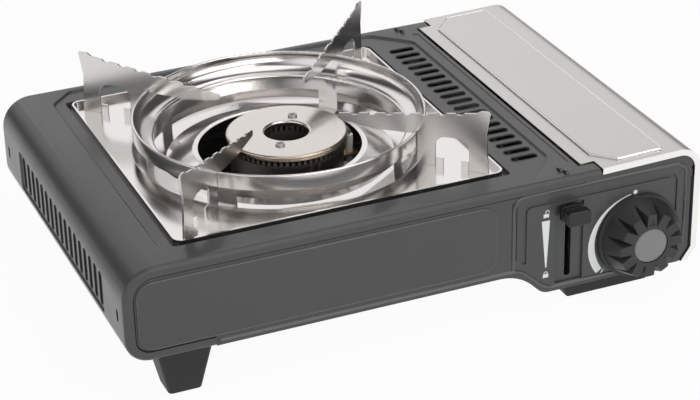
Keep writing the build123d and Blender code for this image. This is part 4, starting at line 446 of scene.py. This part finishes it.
def dress(node, finish, edge=0.0):
    """Merged, smooth copy of a solid with slightly rounded edges."""
    source = NODES[node]
    mesh = source.data.copy()
    piece = link(bpy.data.objects.new(f"{node}_dressed", mesh))
    shape = bmesh.new()
    shape.from_mesh(mesh)
    bmesh.ops.remove_doubles(shape, verts=shape.verts, dist=MERGE_DISTANCE)
    bmesh.ops.dissolve_limit(shape, angle_limit=FLAT_ANGLE, verts=shape.verts, edges=shape.edges)
    shape.to_mesh(mesh)
    shape.free()
    if "custom_normal" in mesh.attributes:
        mesh.attributes.remove(mesh.attributes["custom_normal"])
    mesh.materials.clear()
    mesh.materials.append(finish.material)
    mesh.polygons.foreach_set("use_smooth", [True] * len(mesh.polygons))
    mesh.set_sharp_from_angle(angle=SMOOTH_ANGLE)
    if edge:
        round_edges(piece, edge, 2)
    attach(piece, source["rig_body"])
    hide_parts(node)
    return piece


def coat(finish, *nodes):
    """Give solids that stay as they are a finish."""
    for node in nodes:
        mesh = NODES[node].data
        mesh.materials.clear()
        mesh.materials.append(finish.material)


dress("top_shell", paint, 0.15)
dress("front_panel", paint, 0.3)
dress("rear_panel", paint, 0.3)
dress("cartridge_lid", lid_steel, 0.25)
dress("drip_tray", tray_steel, 0.10)
dress("wind_ring", ring_steel)
for place in ("front_left", "front_right", "rear_left", "rear_right"):
    dress(f"pan_support_{place}", support_steel, 0.15)
    dress(f"foot_{place}", foot_plastic, 0.5)
dress("control_knob", black_plastic, 0.5)
dress("knob_cap", grey_plastic)
dress("lever_handle", lever_plastic, 0.3)
dress("burner_cap", cap_metal)
dress("burner_body", cast_metal, 0.08)
coat(plated, "base_plate", "bay_floor", "partition_wall", "hinge_brackets", "hinge_pins")
coat(plated, "burner_stand", "burner_clip", "spark_electrode", "mixing_tube", "burner_cap_screws")
coat(plated, "cartridge_guide", "regulator_cover", "regulator_screws", "valve_spindle", "foot_screws")
coat(plated, "lever_guide", "bar_guides", "pull_bar", "cartridge_pusher")
coat(cast_metal, "regulator_body")
coat(heat_metal, "heat_plate")
coat(brass, "jet_nozzle", "gas_pipe", "electrode_holder")
coat(black_plastic, "lever_carriage", "piezo_igniter")
coat(ceramic, "electrode_ceramic")
coat(rubber_and_slit_shade, "cartridge_seal")
coat(sheath, "igniter_lead")

# %% [markdown]
# What repeats or follows a path is made by Geometry Nodes. A `Recipe` is such a tree with named
# sizes. It is run once on a few points or a line, and the result is kept as a plain mesh.


# %% Recipes
CREASE_ANGLE = radians(35)


class Recipe(Nodes):
    """A Geometry Nodes tree with named inputs."""

    def __init__(self, name, **sizes):
        super().__init__(bpy.data.node_groups.new(name, "GeometryNodeTree"))
        face = self.tree.interface
        face.new_socket("Geometry", in_out="INPUT", socket_type="NodeSocketGeometry")
        for key, kind in sizes.items():
            face.new_socket(key, in_out="INPUT", socket_type=f"NodeSocket{kind}")
        face.new_socket("Material", in_out="INPUT", socket_type="NodeSocketMaterial")
        face.new_socket("Geometry", in_out="OUTPUT", socket_type="NodeSocketGeometry")
        self.start = self.tree.nodes.new("NodeGroupInput")

    def entry(self, name):
        """One of the named inputs."""
        return Wire(self.tree, self.start.outputs[name])

    def close(self, shape):
        """Realize, shade and colour the shape, and lead it out."""
        solid = self.node("GeometryNodeRealizeInstances", Geometry=shape)
        smooth = self.node("GeometryNodeSetShadeSmooth", Geometry=solid)
        done = self.node("GeometryNodeSetMaterial", Geometry=smooth, Material=self.entry("Material"))
        plug(self.tree, self.tree.nodes.new("NodeGroupOutput").inputs[0], done)

    def make(self, name, points, edges, body, slot, finish, **sizes):
        """Run the tree on points and edges (mm), and keep the result as a plain mesh."""
        seed = bpy.data.meshes.new(f"{name}_points")
        seed.from_pydata([Vector(point) * MM for point in points], edges, [])
        piece = link(bpy.data.objects.new(name, seed))
        run = piece.modifiers.new("recipe", "NODES")
        run.node_group = self.tree
        values = dict(sizes, Material=finish.material)
        for item in self.tree.interface.items_tree:
            if item.in_out == "INPUT" and item.name in values:
                run[item.identifier] = values[item.name]
        view = bpy.context.evaluated_depsgraph_get()
        mesh = bpy.data.meshes.new_from_object(piece.evaluated_get(view))
        piece.modifiers.remove(run)
        piece.data = mesh
        mesh.set_sharp_from_angle(angle=CREASE_ANGLE)
        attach(piece, body)
        print(name, "faces:", len(mesh.polygons))
        return piece


ridge = Recipe("pressed_ridge", Corner="Float", Radius="Float")
line = ridge.node("GeometryNodeMeshToCurve", Mesh=ridge.entry("Geometry"))
bent = ridge.node(
    "GeometryNodeFilletCurve",
    {"mode": "POLY"},
    Curve=line,
    Radius=ridge.entry("Corner"),
    Count=8,
    Limit_Radius=True,
)
bead = ridge.node("GeometryNodeCurvePrimitiveCircle", Radius=ridge.entry("Radius"), Resolution=10)
ridge.close(ridge.node("GeometryNodeCurveToMesh", Curve=bent, Profile_Curve=bead, Fill_Caps=True))

slot_rim = Recipe("drawn_slot_rims", Length="Float", Width="Float", Radius="Float", Turn="Vector")
length, width = slot_rim.entry("Length"), slot_rim.entry("Width")
NEARLY_HALF = 0.499
box_line = slot_rim.node("GeometryNodeCurvePrimitiveQuadrilateral", Width=length, Height=width)
oval = slot_rim.node(
    "GeometryNodeFilletCurve",
    {"mode": "POLY"},
    Curve=box_line,
    Radius=NEARLY_HALF * width,
    Count=6,
    Limit_Radius=True,
)
lip = slot_rim.node("GeometryNodeCurvePrimitiveCircle", Radius=slot_rim.entry("Radius"), Resolution=8)
one_rim = slot_rim.node("GeometryNodeCurveToMesh", Curve=oval, Profile_Curve=lip)
slot_rim.close(
    slot_rim.node(
        "GeometryNodeInstanceOnPoints",
        Points=slot_rim.entry("Geometry"),
        Instance=one_rim,
        Rotation=slot_rim.entry("Turn"),
    )
)

screw_sizes = dict.fromkeys(("Radius", "Height", "Cross", "Groove"), "Float")
screw = Recipe("cross_screws", **screw_sizes, Turn="Vector")
radius, height = screw.entry("Radius"), screw.entry("Height")
head = screw.node("GeometryNodeMeshCylinder", Vertices=28, Radius=radius, Depth=height)
half_up = screw.node("ShaderNodeCombineXYZ", Z=0.5 * height)
head = screw.node("GeometryNodeTransform", Geometry=head, Translation=half_up)
arms = []
for along, across in (("Cross", "Groove"), ("Groove", "Cross")):
    arm_size = screw.node("ShaderNodeCombineXYZ", X=screw.entry(along), Y=screw.entry(across), Z=height)
    arms.append(screw.node("GeometryNodeMeshCube", Size=arm_size))
union = {"operation": "UNION", "solver": "EXACT"}
cross = screw.node("GeometryNodeMeshBoolean", union, Mesh=arms[0])
screw.tree.links.new(arms[1].socket, cross.socket.node.inputs["Mesh"])
full_up = screw.node("ShaderNodeCombineXYZ", Z=height)
cross = screw.node("GeometryNodeTransform", Geometry=cross, Translation=full_up)
difference = {"operation": "DIFFERENCE", "solver": "EXACT"}
cut = screw.node("GeometryNodeMeshBoolean", difference, Mesh_1=head)
screw.tree.links.new(cross.socket, cut.socket.node.inputs["Mesh 2"])
screw.close(
    screw.node(
        "GeometryNodeInstanceOnPoints",
        Points=screw.entry("Geometry"),
        Instance=cut,
        Rotation=screw.entry("Turn"),
    )
)
print("recipes ready")

# %% [markdown]
# The front panel is stiffened by pressed lines: one frame round the controls and one that follows
# the lower edge with its step. On the sheet they are fine half-round beads, so a thin tube that is
# half sunk gives their light and dark lines. The panels' raised fields have a bright rubbed edge,
# made the same way. The lid's field has one too, a tube of pale steel whose pale colour is a painted
# highlight. The shade in the gaps between a panel and the shell's lip, and between a panel and the
# lid's edge, is painted: thin near-black tubes lie there as painted shadow lines. All places here
# are in millimetres.

# %% Pressed lines and slot rims
PANEL_FRONT, PANEL_REAR = -110.2, 126.2
BEAD_SINK, BEAD_R = 0.3, 1.2
RUBBED_OUT, RUBBED_R = 0.35, 0.45
SHADOW_OUT, LIP_SHADOW_R, LID_SHADOW_R = 0.1, 0.5, 0.8
frame_path = [(54.2, 31.5), (54.2, 76.2), (163.4, 76.2), (163.4, 24.0)]
edge_path = [(146.0, 15.6), (74.6, 15.6), (57.8, 30.8), (-120.0, 30.8)]


def chain(points, closed=False):
    """Edges from each point to the next, and back to the first if closed."""
    edges = [(index, index + 1) for index in range(len(points) - 1)]
    return edges + [(len(points) - 1, 0)] if closed else edges


def arc(centre, radius, start, end, count):
    """Points on a circle, in degrees."""
    steps = [radians(start + (end - start) * index / count) for index in range(count + 1)]
    return [(centre[0] + radius * cos(step), centre[1] + radius * sin(step)) for step in steps]


def panel_line(name, path, y, finish, corner, radius, closed=False):
    """Thin tube along a path of x and z on a panel."""
    places = [(x, y, z) for x, z in path]
    sizes = {"Corner": corner * MM, "Radius": radius * MM}
    ridge.make(name, places, chain(path, closed), "stove_body", "paint", finish, **sizes)


# Near-black for the painted shadow lines in the seams: colour that stands in for the shade in the gaps.
seam_shade = Finish("seam_shade")
seam_tone = seam_shade.noise(400, 2)
seam_shade.feed("Base Color", seam_shade.mixed(seam_tone, grey(0.005), grey(0.012)))
seam_shade.feed("Roughness", 0.8 + 0.15 * seam_tone)

for name, path, corner in (("control_frame_bead", frame_path, 7.0), ("lower_edge_bead", edge_path, 14.0)):
    panel_line(name, path, PANEL_FRONT + BEAD_SINK, ridge_paint, corner, BEAD_R)

FIELD_LEFT, FIELD_RIGHT, FIELD_LOW, FIELD_HIGH = -164.4, 43.5, 34.6, 74.4
FIELD_CORNER = 9.1
field_ring = [(x, FIELD_LOW) for x in (FIELD_LEFT, FIELD_RIGHT)]
field_ring += [(x, FIELD_HIGH) for x in (FIELD_RIGHT, FIELD_LEFT)]

LIP_LEFT, LIP_LOW, LIP_HIGH = -166.2, 33.6, 77.2
LIP_START, LIP_END = -122.5, 98.0
LOW_R, HIGH_R = 8.2, 12.2
low_turn = arc((LIP_LEFT + LOW_R, LIP_LOW + LOW_R), LOW_R, 270, 180, 8)
high_turn = arc((LIP_LEFT + HIGH_R, LIP_HIGH - HIGH_R), HIGH_R, 180, 90, 12)
lip_edge = [(LIP_START, LIP_LOW), *low_turn, *high_turn, (LIP_END, LIP_HIGH)]

panel_end = [(167.7, 66.0), (167.7, 20.4), (162.1, 12.7)]
END_CORNER = 4.0
for side, sheet, out in (("front", PANEL_FRONT, -1), ("rear", PANEL_REAR, 1)):
    rubbed_y, shadow_y = sheet + RUBBED_OUT * out, sheet + SHADOW_OUT * out
    panel_line(f"{side}_field_bead", field_ring, rubbed_y, ridge_paint, FIELD_CORNER, RUBBED_R, closed=True)
    # Painted shade: near-black tubes along the lip's edge and the panel's end, where the gaps are.
    panel_line(f"{side}_seam_shadow_line", lip_edge, shadow_y, seam_shade, 0.0, LIP_SHADOW_R)
    panel_line(f"{side}_lid_edge_shadow_line", panel_end, shadow_y, seam_shade, END_CORNER, LID_SHADOW_R)

LID_LEFT, LID_TOP, LID_SLOPE = 100.6, 83.4, 1.7 / 71.4
LID_FIELD_RISE = 0.72
field_path = [(110.3, -91.5), (110.3, 107.5), (121.9, 120.6)]
field_path += [(149.7, 120.6), (149.7, -104.6), (121.9, -104.6)]
field_places = [(x, y, LID_TOP + LID_FIELD_RISE + LID_SLOPE * (x - LID_LEFT)) for x, y in field_path]
# The lid's field edge: a tube of pale steel, a painted highlight.
ridge.make(
    "lid_field_highlight_bead",
    field_places,
    chain(field_path, closed=True),
    "lid",
    "lid_steel",
    highlight_bead_steel,
    Corner=1.2 * MM,
    Radius=RUBBED_R * MM,
)

SLOT_MIDDLE_Y = 8.0


def slot_row(x, z, pitch, count):
    """Middles of a row of slots along the depth of the stove."""
    return [(x, SLOT_MIDDLE_Y + pitch * (index - count // 2), z) for index in range(count)]


deck_slots = slot_row(77.5, 81.8, 9.33, 19)
slot_rim.make(
    "deck_slot_rims",
    deck_slots,
    [],
    "stove_body",
    "paint",
    paint,
    Length=16.5 * MM,
    Width=5.7 * MM,
    Radius=0.3 * MM,
)
side_slots = slot_row(-171.0, 53.0, 9.4, 17)
slot_rim.make(
    "side_slot_rims",
    side_slots,
    [],
    "stove_body",
    "paint",
    paint,
    Length=20.3 * MM,
    Width=4.9 * MM,
    Radius=0.2 * MM,
    Turn=(0.0, pi / 2, 0.0),
)

# %% [markdown]
# The burner's cap is held by two cross-slot screws. Their heads are drawn by a recipe that cuts a
# cross out of a flat head and sets one on each point.

# %% Cap screws
SCREW_TURN, SCREW_REACH, SCREW_Z = radians(58), 19.5, 85.9
cap_screws = []
for side in (1, -1):
    away_x, away_y = SCREW_REACH * cos(SCREW_TURN), SCREW_REACH * sin(SCREW_TURN)
    cap_screws.append((BURNER_X + side * away_x, BURNER_Y + side * away_y, SCREW_Z))
heads = screw.make(
    "cap_screw_heads",
    cap_screws,
    [],
    "stove_body",
    "plated_steel",
    plated,
    Radius=2.7 * MM,
    Height=1.3 * MM,
    Cross=3.6 * MM,
    Groove=0.8 * MM,
    Turn=(0.0, 0.0, 0.5),
)
round_edges(heads, 0.5, 3)
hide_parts("burner_cap_screws")

# %% [markdown]
# Small flat things are drawn as an outline and pushed out into a thin solid. That makes the
# printed marks by the controls, two pairs of lanced bridges in the deck, and the folded lip that
# closes the seam under the lid's edge.


# %% Thin solids
def outline_solid(name, outlines, axis, near, far, finish, body="stove_body"):
    """Outlines (mm) in the plane across an axis, each pushed out from near to far."""
    shape = bmesh.new()
    for corners in outlines:
        rings = []
        for level in (near, far):
            ring = []
            for first, second in corners:
                spot = [first, second]
                spot.insert("xyz".index(axis), level)
                ring.append(shape.verts.new(Vector(spot) * MM))
            rings.append(ring)
        for ring in rings:
            shape.faces.new(ring)
        count = len(corners)
        for index in range(count):
            after = (index + 1) % count
            shape.faces.new((rings[0][index], rings[0][after], rings[1][after], rings[1][index]))
    bmesh.ops.recalc_face_normals(shape, faces=shape.faces)
    mesh = bpy.data.meshes.new(name)
    shape.to_mesh(mesh)
    shape.free()
    mesh.materials.append(finish.material)
    piece = link(bpy.data.objects.new(name, mesh))
    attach(piece, body)
    print(name, "faces:", len(mesh.polygons))
    return piece


# %% [markdown]
# White ink beside the controls: a wedge and two padlocks for the lever, and a growing flame arc
# with an off dot and a spark for the knob. Ink is matt and a little uneven.

# %% Printed marks
ink = Finish("white_ink")
ink_wear = ink.noise(300, 3)
ink.feed("Base Color", ink.mixed(ink_wear, (0.74, 0.76, 0.76), (0.82, 0.84, 0.84)))
ink.feed("Roughness", 0.5 + 0.2 * ink_wear)

KNOB_X, KNOB_Z = 132.5, 37.2
wedge = [(71.5, 58.4), (76.6, 58.4), (74.95, 28.7), (74.25, 28.7)]


def round_knob(reach, angle):
    """Place at a distance from the knob's axis, in a direction."""
    return (KNOB_X + reach * cos(angle), KNOB_Z + reach * sin(angle))


ARC_STEPS, ARC_START, ARC_SWEEP = 36, 100, 118
outer_edge, inner_edge = [], []
for index in range(ARC_STEPS + 1):
    share = index / ARC_STEPS
    angle = radians(ARC_START + ARC_SWEEP * share)
    swell = share * share * (3 - 2 * share)
    outer_edge.append(round_knob(26.7 + 5.6 * swell, angle))
    inner_edge.append(round_knob(26.2 + 1.9 * share * share, angle))
flame_arc = outer_edge + inner_edge[::-1]
off_dot = arc(round_knob(27.0, radians(94)), 1.3, 0, 345, 23)
spark_mark = [(112.6, 19.7), (110.1, 18.3), (110.9, 17.9), (108.9, 16.2), (111.5, 17.5), (110.8, 18.0)]
LOCK_HALF, LOCK_HEIGHT, BOW_RISE, BOW_OUTSIDE, BOW_INSIDE = 1.7, 2.3, 2.7, 1.25, 0.8


def padlock(x, z, lift):
    """Small padlock: its body, and its bow, which stands open by a lift."""
    top = z + LOCK_HEIGHT
    body = [(x - LOCK_HALF, z), (x + LOCK_HALF, z), (x + LOCK_HALF, top), (x - LOCK_HALF, top)]
    middle = (x + lift, z + BOW_RISE + lift)
    bow = [(middle[0] + BOW_OUTSIDE, top + lift)]
    bow += arc(middle, BOW_OUTSIDE, 0, 180, 12)
    bow += [(middle[0] - BOW_OUTSIDE, top), (middle[0] - BOW_INSIDE, top)]
    bow += arc(middle, BOW_INSIDE, 180, 0, 12)
    bow += [(middle[0] + BOW_INSIDE, top + lift)]
    return [body, bow]


INK_DEPTH = 0.06
marks = [wedge, flame_arc, off_dot, spark_mark]
marks += padlock(74.2, 60.4, 0.7) + padlock(74.6, 22.2, 0.0)
outline_solid("control_marks", marks, "y", PANEL_FRONT - INK_DEPTH, PANEL_FRONT, ink)

# %% [markdown]
# Beside the lid's hinges the deck is lanced: a narrow strip between two cuts is pushed up into a
# small bridge. The cuts are thin near-black sheets laid on the deck: painted shade where the
# openings are. At both ends of the lid a folded lip of the panel shows under the lid's edge.

# %% Lanced bridges and lid seam
LANCE_X, DECK_Z, BRIDGE_Z = 87.8, 83.0, 81.4
SLIT_CORNERS = ((-0.7, -3), (0.7, -3), (0.7, 3), (-0.7, 3))
SLIT_SHADE_THICKNESS, BRIDGE_HALF = 0.03, 0.8
bridges, slit_shades = [], []
for middle in (-103.0, 118.0):
    for sideways, shift in ((-0.9, 2.0), (0.9, -2.0)):
        slit_x, slit_y = LANCE_X + sideways, middle + shift
        slit_shades.append([(slit_x + dx, slit_y + dy) for dx, dy in SLIT_CORNERS])
        top = arc((slit_y, BRIDGE_Z), 3.2, 30, 150, 8)
        under = arc((slit_y, BRIDGE_Z), 2.6, 142, 38, 8)
        bridges.append((slit_x, top + under))
# Painted shade: the cuts are near-black sheets laid on the deck.
outline_solid("lance_slit_shades", slit_shades, "z", DECK_Z, DECK_Z + SLIT_SHADE_THICKNESS, rubber_and_slit_shade)
for index, (x, section) in enumerate(bridges):
    outline_solid(f"lance_bridge_{index + 1}", [section], "x", x - BRIDGE_HALF, x + BRIDGE_HALF, paint)

SEAM_LEFT, SEAM_TURN_X = 101.8, 157.9
lip_outer = [(SEAM_LEFT, 81.0)] + arc((SEAM_TURN_X, 71.6), 10.8, 90, 12, 14)
lip_inner = [(SEAM_LEFT, 77.0)] + arc((SEAM_TURN_X, 69.6), 7.4, 90, 12, 14)
for name, near, far in (("front_seam_lip", -110.1, -109.5), ("rear_seam_lip", 125.5, 126.1)):
    outline_solid(name, [lip_outer + lip_inner[::-1]], "y", near, far, paint)
print("details ready")

# %% [markdown]
# A product photograph is lit by large soft boxes in a pale room. The room is the world's colour:
# white behind the stove, where the lid and the flat of the tray mirror it, white at the left, and
# dark overhead and to the right, which gives polished steel its dark and bright bands. The camera
# sees plain white. The floor is pale and keeps a faint shadow. Polished pieces mirror it as white
# paper that gets darker further away, and the floor under the stove stays in the shade.


# %% Room, floor and lamps
def graded(tree, look, way, stops):
    """Grey that follows how far a look turns towards a way."""
    dot = {"operation": "DOT_PRODUCT"}
    toward = tree.node("ShaderNodeVectorMath", dot, out="Value", Vector=look, Vector2=way)
    greys = {"stops": [(place, grey(level)) for place, level in stops]}
    return tree.node("ShaderNodeValToRGB", greys, Fac=0.5 + 0.5 * toward)


world = bpy.data.worlds.new("pale_room")
world.use_nodes = True
sky = Nodes(world.node_tree)
sky.tree.nodes.clear()
look = sky.node("ShaderNodeTexCoord")
behind_stops = [(0.0, 0.14), (0.45, 0.08), (0.90, 0.07), (0.955, 1.0), (1.0, 1.0)]
behind = graded(sky, look, (0.14, 0.90, 0.42), behind_stops)
left_stops = [(0.0, 0.0), (0.84, 0.0), (0.94, 0.95), (1.0, 0.95)]
left = graded(sky, look, (-0.85, -0.30, 0.43), left_stops)
lighten = {"data_type": "RGBA", "blend_type": "LIGHTEN"}
room_colour = sky.node("ShaderNodeMix", lighten, Factor=1.0, A=behind, B=left)
room = sky.node("ShaderNodeBackground", Color=room_colour, Strength=1.0)
background = sky.node("ShaderNodeBackground", Color=(1, 1, 1, 1), Strength=1.0)
to_camera = sky.node("ShaderNodeLightPath", out="Is Camera Ray")
world_output = sky.tree.nodes.new("ShaderNodeOutputWorld")
plug(sky.tree, world_output.inputs[0], sky.shaded(to_camera, room, background))
bpy.context.scene.world = world

FLOOR_HALF = 6.0
PAPER_GLOW = 0.95
PAPER_NEAR, PAPER_FADE, PAPER_DROP = 0.45, 0.5, 0.8
SHADE_X, SHADE_Y, SHADE_BACK, SHADE_EDGE = 0.105, 0.055, 0.03, 0.03
floor_mesh = bpy.data.meshes.new("floor")
floor_corners = [(x * FLOOR_HALF, y * FLOOR_HALF, 0) for x, y in ((-1, -1), (1, -1), (1, 1), (-1, 1))]
floor_mesh.from_pydata(floor_corners, [], [(0, 1, 2, 3)])
floor = link(bpy.data.objects.new("floor", floor_mesh))
paper = Finish("pale_floor_paper", {"Base Color": (*grey(0.85), 1), "Roughness": 0.9})
rays = {way.socket.name: way for way in paper.exits(paper.node("ShaderNodeLightPath"))}
floor_x, floor_y = paper.exits(paper.node("ShaderNodeSeparateXYZ", Vector=paper.place()))[:2]
away = (floor_x ** 2.0 + floor_y ** 2.0) ** 0.5
sheet = 1.0 - PAPER_DROP * ((away - PAPER_NEAR) / PAPER_FADE).clipped()
mirrored = rays["Is Glossy Ray"].larger(rays["Is Transmission Ray"])
seen = rays["Is Camera Ray"].larger(sheet * mirrored)
side_reach = (floor_x ** 2.0) ** 0.5
back_reach = ((floor_y - SHADE_BACK) ** 2.0) ** 0.5
beyond = (side_reach - SHADE_X).larger(back_reach - SHADE_Y)
lit = (beyond / SHADE_EDGE).clipped()
white = paper.node("ShaderNodeEmission", Color=(1, 1, 1, 1), Strength=1.0)
dull = Wire(paper.tree, paper.shader.outputs[0])
plug(paper.tree, paper.output.inputs[0], paper.shaded(seen * lit * PAPER_GLOW, dull, white))
floor_mesh.materials.append(paper.material)


AIM = (0, 0, 0.05)


def soft_box(name, place, width, height, power):
    """Large area lamp that faces the stove."""
    lamp = bpy.data.lights.new(name, "AREA")
    lamp.shape = "RECTANGLE"
    lamp.size, lamp.size_y, lamp.energy = width, height, power
    holder = link(bpy.data.objects.new(name, lamp))
    facing = (Vector(AIM) - Vector(place)).to_track_quat("-Z", "Y")
    holder.matrix_world = Matrix.Translation(place) @ facing.to_matrix().to_4x4()


soft_box("top_box", (0.3, -0.3, 1.9), 1.5, 1.5, 9)
soft_box("front_box", (0.5, -2.0, 0.78), 3.2, 1.45, 25)
soft_box("strip_box", (0.60, -0.85, 1.42), 1.4, 0.10, 4)
bpy.context.scene.view_settings.view_transform = "Standard"
print("room, floor and three soft boxes ready")
